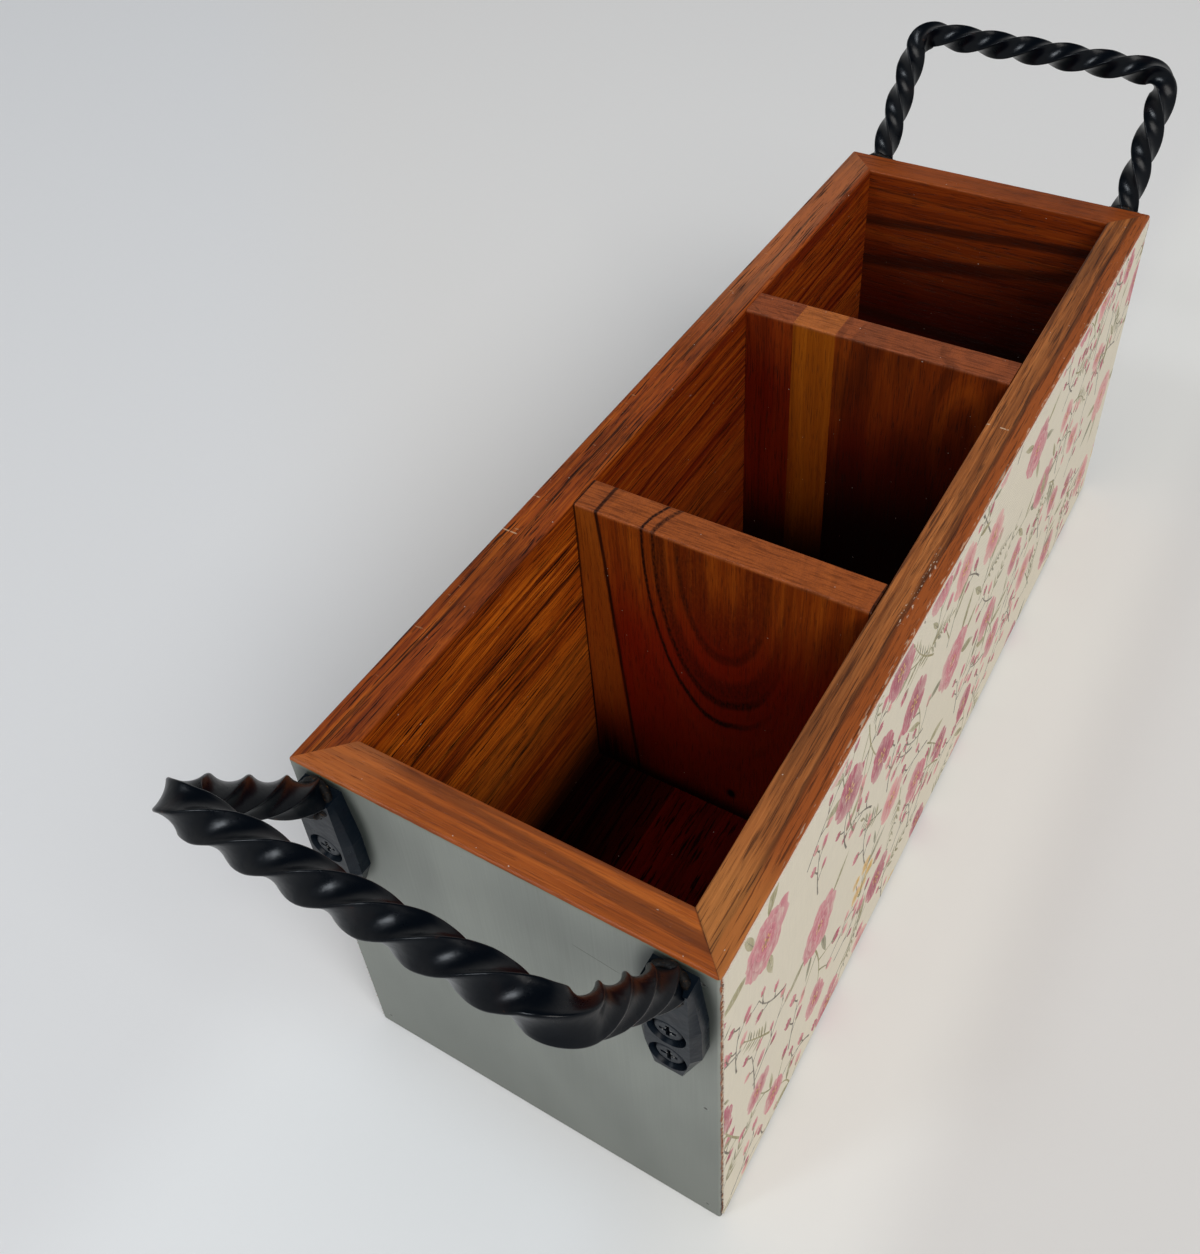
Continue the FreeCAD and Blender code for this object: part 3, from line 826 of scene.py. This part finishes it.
weldBead = {
    "ring": 4.7, "tube": 1.35, "around": 56, "tubeSides": 10, "out": 4.2, "tilt": 62.0,
    "lump": 0.7, "lumpRate": 0.55, "gloss": 0.15, "rough": (0.4, 0.3), "bump": 0.25,
    "tones": [(0.42, (6, 7, 9)), (0.6, (20, 15, 12)), (0.78, (112, 76, 36))],
}


def weldMaterial():
    material, tree, shader = startMaterial("burnt weld", weldBead["gloss"])
    grit = cloud(tree, axesOf(tree), (0.8, 0.8, 0.8), 8.0, detail=4, rough=0.65)
    stops = [(position, tint(*colour)) for position, colour in weldBead["tones"]]
    rough = scaled(tree, grit, *weldBead["rough"])
    look = {"colour": ramp(tree, grit, stops), "rough": rough, "height": grit}
    finishSurface(tree, shader, look, weldBead["bump"])
    return material


def weldPiece(name, x, turned):
    slope = (barShape["rise"] + barShape["rootDrop"]) / barShape["reach"]
    out, root = weldBead["out"], caddyBox["high"] - barShape["rootDrop"]
    centre = Vector((x, -caddyBox["endFace"] - out, root + out * slope))
    lay = Matrix.Rotation(math.radians(weldBead["tilt"]), 3, "X")
    made = bmesh.new()
    rows = []
    for i in range(weldBead["around"]):
        swing = 2 * math.pi * i / weldBead["around"]
        spoke = Vector((math.cos(swing), math.sin(swing), 0))
        girth = weldBead["tube"] + bumpyNoise((centre + spoke * 5) * weldBead["lumpRate"]) * weldBead["lump"]
        row = []
        for j in range(weldBead["tubeSides"]):
            roll = 2 * math.pi * j / weldBead["tubeSides"]
            lift = Vector((0, 0, girth * math.sin(roll)))
            flat = spoke * (weldBead["ring"] + girth * math.cos(roll)) + lift
            row.append(made.verts.new(centre + lay @ flat))
        rows.append(row)
    for i, row in enumerate(rows):
        after = rows[(i + 1) % len(rows)]
        for j in range(len(row)):
            k = (j + 1) % len(row)
            made.faces.new((row[j], after[j], after[k], row[k])).smooth = True
    cutAtEnd(made)
    return bmeshPiece(name, made, turned)


weldFinish = weldMaterial()
for end, turned in (("front", False), ("rear", True)):
    for side, x in (("left", -barShape["spread"] / 2), ("right", barShape["spread"] / 2)):
        bead = weldPiece(end + "_" + side + "_weld", -x if turned else x, turned)
        bead.data.materials.append(weldFinish)
print("welds made")


# printed cotton on the long sides: flowers drawn as flat shapes, cut into one sheet

clothPrint = {
    "long": 375.6, "high": 144.6, "thick": 0.45, "low": 1.2,
    "edgeStep": 1.6, "ragged": 0.22, "overrun": 14.0,
    "ground": (222, 213, 193),
    "fold": (226, 220, 206),
    "pinks": [
        ((172, 64, 90), (216, 132, 142)), ((196, 100, 112), (230, 172, 166)), ((150, 46, 76), (194, 94, 114)),
    ],
    "yellows": [((206, 152, 62), (232, 196, 118))],
    "greens": [(130, 122, 76), (112, 108, 76), (146, 136, 88)],
    "twig": (100, 90, 76),
    "eye": (118, 92, 56),
    # how many of each, and the room each one takes
    "dahlias": (6, 60.0), "roses": (46, 27.0), "clusters": (9, 24.0),
    "sprigs": (60, 15.5), "bells": (170, 9.0),
    # how far each ring of a dahlia reaches, and its petals
    "dahliaRings": ((0.5, 9), (0.42, 9), (0.33, 8), (0.24, 7), (0.15, 6)),
}


def ccw(points):
    area = sum(a.x * b.y - b.x * a.y for a, b in zip(points, points[1:] + points[:1]))
    return points if area > 0 else points[::-1]


def spun(point, angle):
    return Vector((point[0] * math.cos(angle) - point[1] * math.sin(angle),
                   point[0] * math.sin(angle) + point[1] * math.cos(angle)))


def mirrored(side, base, angle):
    # close a half outline with its mirror image and turn it into place
    points = side + [(x, -y) for x, y in side[-2:0:-1]]
    return ccw([base + spun(p, angle) for p in points])


def petal(base, angle, length, width, notch=0.12, count=7):
    # broad towards the tip, which is slightly notched
    side = []
    for i in range(count + 1):
        share = i / count
        out = length * share * (1 - notch * share ** 6)
        side.append((out, width / 2 * math.sin(math.pi * share ** 1.5) ** 0.8))
    side[-1] = (length * (1 - notch), 0.0)
    return mirrored(side, base, angle)


def leaf(base, angle, length, width, count=6):
    side = []
    for i in range(count + 1):
        side.append((length * i / count, width / 2 * math.sin(math.pi * (i / count) ** 0.8)))
    return mirrored(side, base, angle)


def curveThrough(start, middle, end, count=9):
    points = []
    for i in range(count + 1):
        t = i / count
        points.append(start * (1 - t) ** 2 + middle * 2 * t * (1 - t) + end * t * t)
    return points


def ribbon(points, wide, tip):
    # thin stroke that narrows from wide to tip
    left, right = [], []
    for i, point in enumerate(points):
        ahead = points[min(i + 1, len(points) - 1)] - points[max(i - 1, 0)]
        side = Vector((-ahead.y, ahead.x)).normalized()
        half = (wide + (tip - wide) * i / (len(points) - 1)) / 2
        left.append(point + side * half)
        right.append(point - side * half)
    return ccw(left + right[::-1])


def stroke(start, end, wide, tip):
    return ribbon([start, (start + end) / 2, end], wide, tip)


def shaded(shape, base, deep, pale, reach, pull):
    # deep at the base, pale at its reach
    tones = {"deep": tint(*deep), "pale": tint(*pale)}
    return {"points": shape, "base": base, "reach": reach, "pull": pull, **tones}


def between(first, second, share):
    return tuple(a + (b - a) * share for a, b in zip(first, second))


def drawStem(draw, shapes, start, end, bow, colour=None):
    middle = (start + end) / 2 + spun(end - start, math.pi / 2) * bow
    line = curveThrough(start, middle, end)
    colour = colour or draw.choice(clothPrint["greens"])
    pale = between(colour, clothPrint["ground"], 0.35)
    shapes.append(shaded(ribbon(line, 0.85, 0.4), start, colour, pale, 40, 1))
    return line


def drawLeaf(draw, shapes, base, angle, length):
    green = between(draw.choice(clothPrint["greens"]), clothPrint["ground"], draw.uniform(0.0, 0.25))
    pale = between(green, clothPrint["ground"], draw.uniform(0.3, 0.6))
    width = length * draw.uniform(0.18, 0.3)
    shapes.append(shaded(leaf(base, angle, length, width), base, green, pale, length, draw.uniform(0.7, 1.6)))
    vein = between(green, (70, 66, 56), 0.45)
    tip = base + spun((length * 0.85, 0), angle)
    shapes.append(shaded(stroke(base, tip, 0.4, 0.15), base, vein, pale, length, 2))
    if length < 11:
        return
    for share in (0.3, 0.5, 0.68):
        for lean in (-0.65, 0.65):
            near = base + spun((length * share, 0), angle)
            far = near + spun((width * 0.42, 0), angle + lean)
            shapes.append(shaded(stroke(near, far, 0.25, 0.12), near, vein, pale, width, 1))


def drawDahlia(draw, shapes, centre, size):
    # rings of pointed petals, each ring lying over the one outside it
    deep, pale = draw.choice(clothPrint["pinks"])
    turn = draw.uniform(0, 1)
    for ring, (reach, count) in enumerate(clothPrint["dahliaRings"]):
        for i in range(count):
            angle = turn + ring * 0.31 + (i + draw.uniform(-0.16, 0.16)) * 2 * math.pi / count
            length = size * reach * draw.uniform(0.86, 1.06)
            faded = draw.uniform(0.1, 0.65) if ring < 3 else draw.uniform(0.0, 0.3)
            tip = between(pale, clothPrint["ground"], faded)
            heart = between(deep, pale, draw.uniform(0.0, 0.4))
            shape = petal(centre, angle, length, size * (0.12 + 0.42 * reach), draw.uniform(0.0, 0.1))
            shapes.append(shaded(shape, centre, heart, tip, length, draw.uniform(1.6, 3.4)))
    drawEye(shapes, centre, size * 0.05)


def drawEye(shapes, centre, reach):
    deep, pale = clothPrint["yellows"][0]
    for i in range(7):
        dot = centre + spun((reach, 0), i * 2 * math.pi / 7)
        shapes.append(shaded(leaf(dot, i, reach * 0.9, reach * 0.7, 3), dot, deep, pale, reach, 1))
    heart = [centre + spun((reach * 0.7, 0), i * math.pi / 4) for i in range(8)]
    shapes.append(shaded(heart, centre, clothPrint["eye"], deep, reach, 1))


def drawBloom(draw, shapes, centre, facing, size, tones):
    # five open notched petals, foreshortened a little, with fine veins and a dotted eye
    deep, pale = draw.choice(tones)
    start = draw.uniform(0, 2 * math.pi)
    flattened = draw.uniform(0.66, 0.95)
    spread = [start + i * 2 * math.pi / 5 + draw.uniform(-0.14, 0.14) for i in range(5)]
    for angle in sorted(spread, key=lambda a: math.cos(a - facing)):
        seenShare = flattened + (1 - flattened) * abs(math.cos(angle - facing))
        length = size * draw.uniform(0.46, 0.56) * seenShare
        width = size * draw.uniform(0.36, 0.48)
        edge = between(pale, clothPrint["ground"], draw.uniform(0.05, 0.6))
        shape = petal(centre, angle, length, width)
        shapes.append(shaded(shape, centre, deep, edge, length, draw.uniform(0.7, 1.5)))
        for lean in (-0.26, -0.08, 0.1, 0.28):
            tip = centre + spun((length * draw.uniform(0.55, 0.82), 0), angle + lean)
            near = centre + spun((length * 0.2, 0), angle + lean * 0.6)
            shapes.append(shaded(stroke(near, tip, 0.4, 0.12), centre, deep, edge, length, 1.6))
    drawEye(shapes, centre, size * 0.07)


def drawBud(draw, shapes, base, angle, size):
    deep, pale = draw.choice(clothPrint["pinks"])
    for lean in (-0.22, 0.24, 0.0):
        shapes.append(shaded(leaf(base, angle + lean, size, size * 0.46), base, deep, pale, size, 1))
    for lean in (-0.5, 0.5):
        drawLeaf(draw, shapes, base, angle + lean, size * 0.5)


def drawRose(draw, shapes, centre):
    # open bloom on its bowed stem, with leaves and a side bud
    heading = draw.uniform(0.3, 2.6) if draw.random() < 0.75 else draw.uniform(-1.6, 0.0)
    foot = centre - spun((draw.uniform(24, 36), 0), heading)
    line = drawStem(draw, shapes, foot, centre, draw.uniform(-0.3, 0.3))
    for i in (1, 3, 5):
        side = heading + draw.choice((-1, 1)) * draw.uniform(0.55, 1.0)
        if draw.random() < 0.62:
            drawLeaf(draw, shapes, line[i], side, draw.uniform(9.0, 16.0))
            continue
        end = line[i] + spun((draw.uniform(9, 14), 0), side)
        drawStem(draw, shapes, line[i], end, draw.uniform(-0.25, 0.25))
        drawBud(draw, shapes, end, side, draw.uniform(5.0, 8.0))
    drawBloom(draw, shapes, centre, heading, draw.uniform(16, 25), clothPrint["pinks"])


def drawSprig(draw, shapes, centre):
    # small leaves in pairs along a thin stem
    heading = draw.uniform(0, 2 * math.pi)
    half = spun((draw.uniform(12, 18), 0), heading)
    line = drawStem(draw, shapes, centre - half, centre + half, draw.uniform(-0.3, 0.3))
    for i in range(2, 9):
        for sign in (-1, 1):
            size = draw.uniform(4.4, 7.0) * (1.25 - 0.07 * i)
            drawLeaf(draw, shapes, line[i], heading + sign * draw.uniform(0.6, 1.0), size)
    drawLeaf(draw, shapes, line[9], heading, 5.0)


def drawBells(draw, shapes, centre):
    # dark twig with nodding buds on alternate sides
    heading = draw.uniform(0.2, 2.9)
    half = spun((draw.uniform(9, 15), 0), heading)
    line = drawStem(draw, shapes, centre - half, centre + half, draw.uniform(-0.2, 0.2), clothPrint["twig"])
    for i in (3, 5, 7, 9):
        side = heading + (1 if i % 4 == 1 else -1) * draw.uniform(0.5, 0.9)
        end = line[i] + spun((draw.uniform(2.5, 5.0), 0), side)
        drawStem(draw, shapes, line[i], end, 0.1, clothPrint["twig"])
        drawBud(draw, shapes, end, side, draw.uniform(4.0, 6.5))


def drawCluster(draw, shapes, centre):
    # a few small yellow flowers close together
    for i in range(5):
        spot = centre + spun((draw.uniform(4, 9), 0), i * 2 * math.pi / 5 + draw.uniform(-0.3, 0.3))
        drawStem(draw, shapes, centre - Vector((0, 9)), spot, draw.uniform(-0.2, 0.2))
        drawBloom(draw, shapes, spot, 0, draw.uniform(7, 9.5), clothPrint["yellows"])


def scatter(draw, count, room, taken):
    # random places that keep clear of what is already there
    places = []
    low, long, high = -clothPrint["overrun"], clothPrint["long"], clothPrint["high"]
    for attempt in range(count * 80):
        spot = Vector((draw.uniform(low, long - low), draw.uniform(low, high - low)))
        if all((spot - other).length > (room + space) / 2 for other, space in taken):
            taken.append((spot, room))
            places.append(spot)
        if len(places) == count:
            break
    return places


def printShapes(seed):
    draw = random.Random(seed)
    shapes, taken = [], []
    kinds = ("dahlias", "roses", "clusters", "sprigs", "bells")
    places = {kind: scatter(draw, *clothPrint[kind], taken) for kind in kinds}
    motifs = {"sprigs": drawSprig, "bells": drawBells, "clusters": drawCluster, "roses": drawRose}
    for kind, motif in motifs.items():
        for place in places[kind]:
            motif(draw, shapes, place)
    for place in places["dahlias"]:
        size = draw.uniform(25, 31)
        lean = draw.uniform(0, 2 * math.pi)
        for turn in (-0.5, 0.3, 1.1, 2.9):
            base = place + spun((size * 0.36, 0), lean + turn)
            drawLeaf(draw, shapes, base, lean + turn + draw.uniform(-0.3, 0.3), draw.uniform(12, 18))
        drawDahlia(draw, shapes, place, size)
    return shapes


def clothEdge(draw):
    # hand-cut edge, not quite straight
    long, high = clothPrint["long"], clothPrint["high"]
    corners = [(0, 0), (long, 0), (long, high), (0, high)]
    points = []
    for a, b in zip(corners, corners[1:] + corners[:1]):
        a, b = Vector(a), Vector(b)
        count = round((b - a).length / clothPrint["edgeStep"])
        inward = Vector((-(b - a).y, (b - a).x)).normalized()
        for i in range(count):
            points.append(a + (b - a) * i / count + inward * draw.uniform(0, clothPrint["ragged"]))
    return points


def clothPiece(name, seed, turned):
    draw = random.Random(seed + 100)
    edge = clothEdge(draw)
    shapes = printShapes(seed)
    points = list(edge)
    outlines = [list(range(len(edge)))]
    for shape in shapes:
        outlines.append(list(range(len(points), len(points) + len(shape["points"]))))
        points.extend(shape["points"])
    cut = delaunay_2d_cdt(points, [], outlines, 0, 1e-4)
    flatPoints, flatFaces, covering = cut[0], cut[2], cut[5]
    ground = tint(*clothPrint["ground"])
    made = bmesh.new()
    dye = made.loops.layers.float_color.new("dye")
    face = caddyBox["sideFace"] + clothPrint["thick"]
    verts = {}

    def corner(index):
        if index not in verts:
            u, v = flatPoints[index]
            verts[index] = made.verts.new((face, u - clothPrint["long"] / 2, v + clothPrint["low"]))
        return verts[index]

    for loop, over in zip(flatFaces, covering):
        if 0 not in over:
            continue
        top = max(over)
        new = made.faces.new([corner(i) for i in loop])
        for part, index in zip(new.loops, loop):
            if top == 0:
                part[dye] = ground
                continue
            shape = shapes[top - 1]
            share = min(1.0, (flatPoints[index] - shape["base"]).length / shape["reach"]) ** shape["pull"]
            part[dye] = [a + (b - a) * share for a, b in zip(shape["deep"], shape["pale"])]
    # turn the cut edge down to the board
    rim = [e for e in made.edges if e.is_boundary]
    below = bmesh.ops.extrude_edge_only(made, edges=rim)["geom"]
    lowered = [v for v in below if isinstance(v, bmesh.types.BMVert)]
    for vertex in lowered:
        vertex.co.x = caddyBox["sideFace"]
    for f in made.faces:
        if any(v.co.x < face - 0.01 for v in f.verts):
            for part in f.loops:
                part[dye] = tint(*clothPrint["fold"])
    bmesh.ops.recalc_face_normals(made, faces=made.faces[:])
    return bmeshPiece(name, made, turned)


clothFray = {
    "gaps": (0.4, 1.5), "lengths": (0.35, 1.1), "thick": 0.22, "lift": 0.2, "lean": 0.8, "tucked": 0.4,
    "tones": [(178, 134, 106), (140, 94, 68), (208, 188, 162), (116, 78, 58)],
}


def frayPiece(name, seed, turned):
    # loose thread ends along the two upright edges of the cloth
    draw = random.Random(seed)
    made = bmesh.new()
    dye = made.loops.layers.float_color.new("dye")
    out = Vector((clothFray["thick"] / 2, 0, 0))
    sides = [(i, i + 4, (i + 1) % 4 + 4, (i + 1) % 4) for i in range(4)]
    for end in (-1, 1):
        high = clothPrint["low"] + 1
        while high < clothPrint["low"] + clothPrint["high"] - 1:
            colour = tint(*draw.choice(clothFray["tones"]))
            way = Vector((0, end, draw.uniform(-clothFray["lean"], clothFray["lean"]))).normalized()
            side = way.cross(out)
            edge = end * (clothPrint["long"] / 2 - clothFray["tucked"])
            start = Vector((caddyBox["sideFace"] + clothFray["lift"], edge, high))
            tip = start + way * (clothFray["tucked"] + draw.uniform(*clothFray["lengths"])) - out * 0.5
            ring = [start + out + side, start - out + side, start - out - side, start + out - side]
            corners = [made.verts.new(p) for p in ring + [tip + (p - start) * 0.5 for p in ring]]
            for loop in ((0, 1, 2, 3), (7, 6, 5, 4), *sides):
                for part in made.faces.new([corners[i] for i in loop]).loops:
                    part[dye] = colour
            high += draw.uniform(*clothFray["gaps"])
    bmesh.ops.recalc_face_normals(made, faces=made.faces[:])
    return bmeshPiece(name, made, turned)


clothWeave = {
    "pitch": 0.62, "rough": 0.86, "fade": 0.5, "gloss": 0.2, "sheen": 0.12, "bump": 0.12,
    "slubs": (((9, 0.7, 9), 4.0), ((9, 9, 0.7), 6.0)), "washCell": (3, 1.6, 4.5), "washMask": (0.42, 0.75),
    "weaveShade": 0.05, "slubShade": (0.1, 0.88), "slubRough": 0.08, "weaveDepth": 0.5,
}


def clothMaterial():
    material, tree, shader = startMaterial("printed cotton", clothWeave["gloss"])
    shader.inputs["Sheen Weight"].default_value = clothWeave["sheen"]
    axes = axesOf(tree)
    dye = addNode(tree, "ShaderNodeVertexColor", layer_name="dye").outputs["Color"]
    turn = 2 * math.pi / clothWeave["pitch"]
    warp, weft = (calc(tree, "SINE", times(tree, axis, turn)) for axis in axes[1:])
    weave = times(tree, warp, weft)
    slubs = calc(tree, "ADD", *(cloud(tree, axes, cell, seed) for cell, seed in clothWeave["slubs"]))
    wash = cloud(tree, axes, clothWeave["washCell"], 7.0, detail=4, rough=0.65)
    faded = times(tree, fade(tree, wash, *clothWeave["washMask"]), clothWeave["fade"])
    colour = mixed(tree, faded, dye, tint(*clothPrint["ground"]))
    shade = scaled(tree, slubs, *clothWeave["slubShade"])
    shade = scaled(tree, weave, clothWeave["weaveShade"], shade)
    grey = addNode(tree, "ShaderNodeCombineColor", {0: shade, 1: shade, 2: shade}).outputs[0]
    look = {
        "colour": mixed(tree, 1.0, colour, grey, "MULTIPLY"),
        "rough": scaled(tree, slubs, clothWeave["slubRough"], clothWeave["rough"]),
        "height": scaled(tree, weave, clothWeave["weaveDepth"], slubs),
    }
    finishSurface(tree, shader, look, clothWeave["bump"])
    return material


cotton = clothMaterial()
for side, turned, seed in (("right", False, 11), ("left", True, 23)):
    cloth = clothPiece(side + "_printed_cotton", seed, turned)
    cloth.data.materials.append(cotton)
    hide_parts(side + "_print_cover")
    fray = frayPiece(side + "_cotton_fray", seed + 200, turned)
    fray.data.materials.append(cotton)
    print(side, "cloth made:", len(cloth.data.polygons), "faces")


# floor, light and camera

stageLook = {
    # the far, left, right and front floor colours are painted light: paler zones that lift the shade beside
    # and in front of the box and the fall-off far away
    "floor": (222, 221, 220), "farFloorLight": (231, 231, 231), "leftFloorLight": (230, 232, 235),
    "rightFloorLight": (236, 236, 234), "frontFloorLight": (238, 241, 244), "floorSize": 12.0,
    "floorRough": 0.7, "floorGloss": 0.25, "floorDrop": 0.0001,
    # where those painted pools of light on the floor lie, in millimetres; ranges end with their soft edge
    "awayFrom": (-380.0, 700.0), "awayLean": -0.8, "leftFrom": (-130.0, -340.0),
    "rightAcross": (60.0, 92.0, 36.0), "rightFrom": (-280.0, -190.0),
    "frontAlong": (-330.0, -218.0, 44.0), "frontAcross": (-80.0, 20.0, 56.0),
    "world": 0.43, "worldTint": (0.97, 0.985, 1.0), "backdrop": (0.62, 0.62, 0.615),
    "ceiling": (0.06, 0.07, 0.085), "ceilingFrom": (0.25, 0.7),    # height on the unit sky dome
    "lamps": [
        {"name": "window", "at": (2.6, -1.6, 3.2), "size": 2.4, "power": 106.0, "tint": (1.0, 0.975, 0.94)},
        {"name": "left lamp", "at": (-1.2, -2.0, 3.0), "size": 0.6, "power": 11.0, "tint": (0.86, 0.93, 1.0)},
    ],
    "softbox": {"at": (-1.3, -1.5, 3.2), "size": 1.1, "glow": 22.0, "tint": (0.88, 0.94, 1.0)},
    "target": (0, 0, 0.08),
}


def aimAtCaddy(item, place):
    item.location = place
    item.rotation_mode = "QUATERNION"
    item.rotation_quaternion = (Vector(stageLook["target"]) - item.location).to_track_quat("-Z", "Y")


def makeFloor():
    made = bmesh.new()
    bmesh.ops.create_grid(made, x_segments=1, y_segments=1, size=stageLook["floorSize"] / 2)
    floor = meshObject("floor", made)
    floor.location.z = -stageLook["floorDrop"]
    material, tree, shader = startMaterial("pale floor", stageLook["floorGloss"])
    across, along = axesOf(tree, "XY")
    # painted light: paler floor far away, to the left, beside the cloth and in front of the box
    away = fade(tree, scaled(tree, across, stageLook["awayLean"], along), *stageLook["awayFrom"])
    besideCloth = times(tree, markRange(tree, across, *stageLook["rightAcross"]),
                        fade(tree, along, *stageLook["rightFrom"]))
    toLeft = fade(tree, calc(tree, "ADD", across, along), *stageLook["leftFrom"])
    inFront = times(tree, markRange(tree, along, *stageLook["frontAlong"]),
                    markRange(tree, across, *stageLook["frontAcross"]))
    colour = tint(*stageLook["floor"])
    zones = ((away, "farFloorLight"), (besideCloth, "rightFloorLight"), (toLeft, "leftFloorLight"), (inFront, "frontFloorLight"))
    for share, name in zones:
        colour = mixed(tree, share, colour, tint(*stageLook[name]))
    tree.links.new(colour, shader.inputs["Base Color"])
    shader.inputs["Roughness"].default_value = stageLook["floorRough"]
    floor.data.materials.append(material)


def makeSoftbox():
    # white card that only shows in glossy surfaces, for the broad glints on the iron
    box = stageLook["softbox"]
    made = bmesh.new()
    bmesh.ops.create_circle(made, cap_ends=True, segments=32, radius=box["size"] / 2)
    card = meshObject("softbox", made)
    aimAtCaddy(card, box["at"])
    for ray in ("camera", "diffuse", "transmission", "volume_scatter", "shadow"):
        setattr(card, "visible_" + ray, False)
    material, _, shader = startMaterial("softbox")
    shader.inputs["Base Color"].default_value = (0, 0, 0, 1)
    shader.inputs["Emission Color"].default_value = (*box["tint"], 1)
    shader.inputs["Emission Strength"].default_value = box["glow"]
    card.data.materials.append(material)


def makeWorld():
    # soft even light, but a plain backdrop with a dark ceiling in what is seen or mirrored
    world = bpy.data.worlds.new("studio")
    bpy.context.scene.world = world
    world.use_nodes = True
    tree = world.node_tree
    tree.nodes.clear()
    soft = addNode(tree, "ShaderNodeBackground", {0: (*stageLook["worldTint"], 1), 1: stageLook["world"]})
    direction = addNode(tree, "ShaderNodeTexCoord").outputs["Generated"]
    height = addNode(tree, "ShaderNodeSeparateXYZ", {0: direction}).outputs["Z"]
    overhead = fade(tree, height, *stageLook["ceilingFrom"])
    room = mixed(tree, overhead, (*stageLook["backdrop"], 1), (*stageLook["ceiling"], 1))
    plain = addNode(tree, "ShaderNodeBackground", {0: room, 1: 1.0})
    rays = addNode(tree, "ShaderNodeLightPath").outputs
    seen = calc(tree, "MAXIMUM", rays["Is Camera Ray"], rays["Is Glossy Ray"])
    seen = calc(tree, "MAXIMUM", seen, rays["Is Transmission Ray"])
    both = addNode(tree, "ShaderNodeMixShader", {0: seen, 1: soft.outputs[0], 2: plain.outputs[0]})
    addNode(tree, "ShaderNodeOutputWorld", {0: both.outputs[0]})


def makeLamps():
    for lamp in stageLook["lamps"]:
        data = bpy.data.lights.new(lamp["name"], "AREA")
        data.shape = "DISK"
        data.size = lamp["size"]
        data.energy = lamp["power"]
        data.color = lamp["tint"]
        aimAtCaddy(linked(lamp["name"], data), lamp["at"])


photoCamera = {
    "at": (0.13236, -0.31727, 0.42521), "turn": (47.472, 2.756, 30.491),
    "lens": 37.24, "shift": (-0.0239, -0.0933), "nearest": 0.01,
}


def makeCamera():
    data = bpy.data.cameras.new("photo camera")
    data.lens = photoCamera["lens"]
    data.shift_x, data.shift_y = photoCamera["shift"]
    data.clip_start = photoCamera["nearest"]
    camera = linked("photo camera", data)
    camera.location = photoCamera["at"]
    camera.rotation_euler = [math.radians(angle) for angle in photoCamera["turn"]]
    bpy.context.scene.camera = camera


makeFloor()
makeSoftbox()
makeWorld()
makeLamps()
makeCamera()
bpy.context.scene.view_settings.view_transform = "Standard"
print("stage ready")
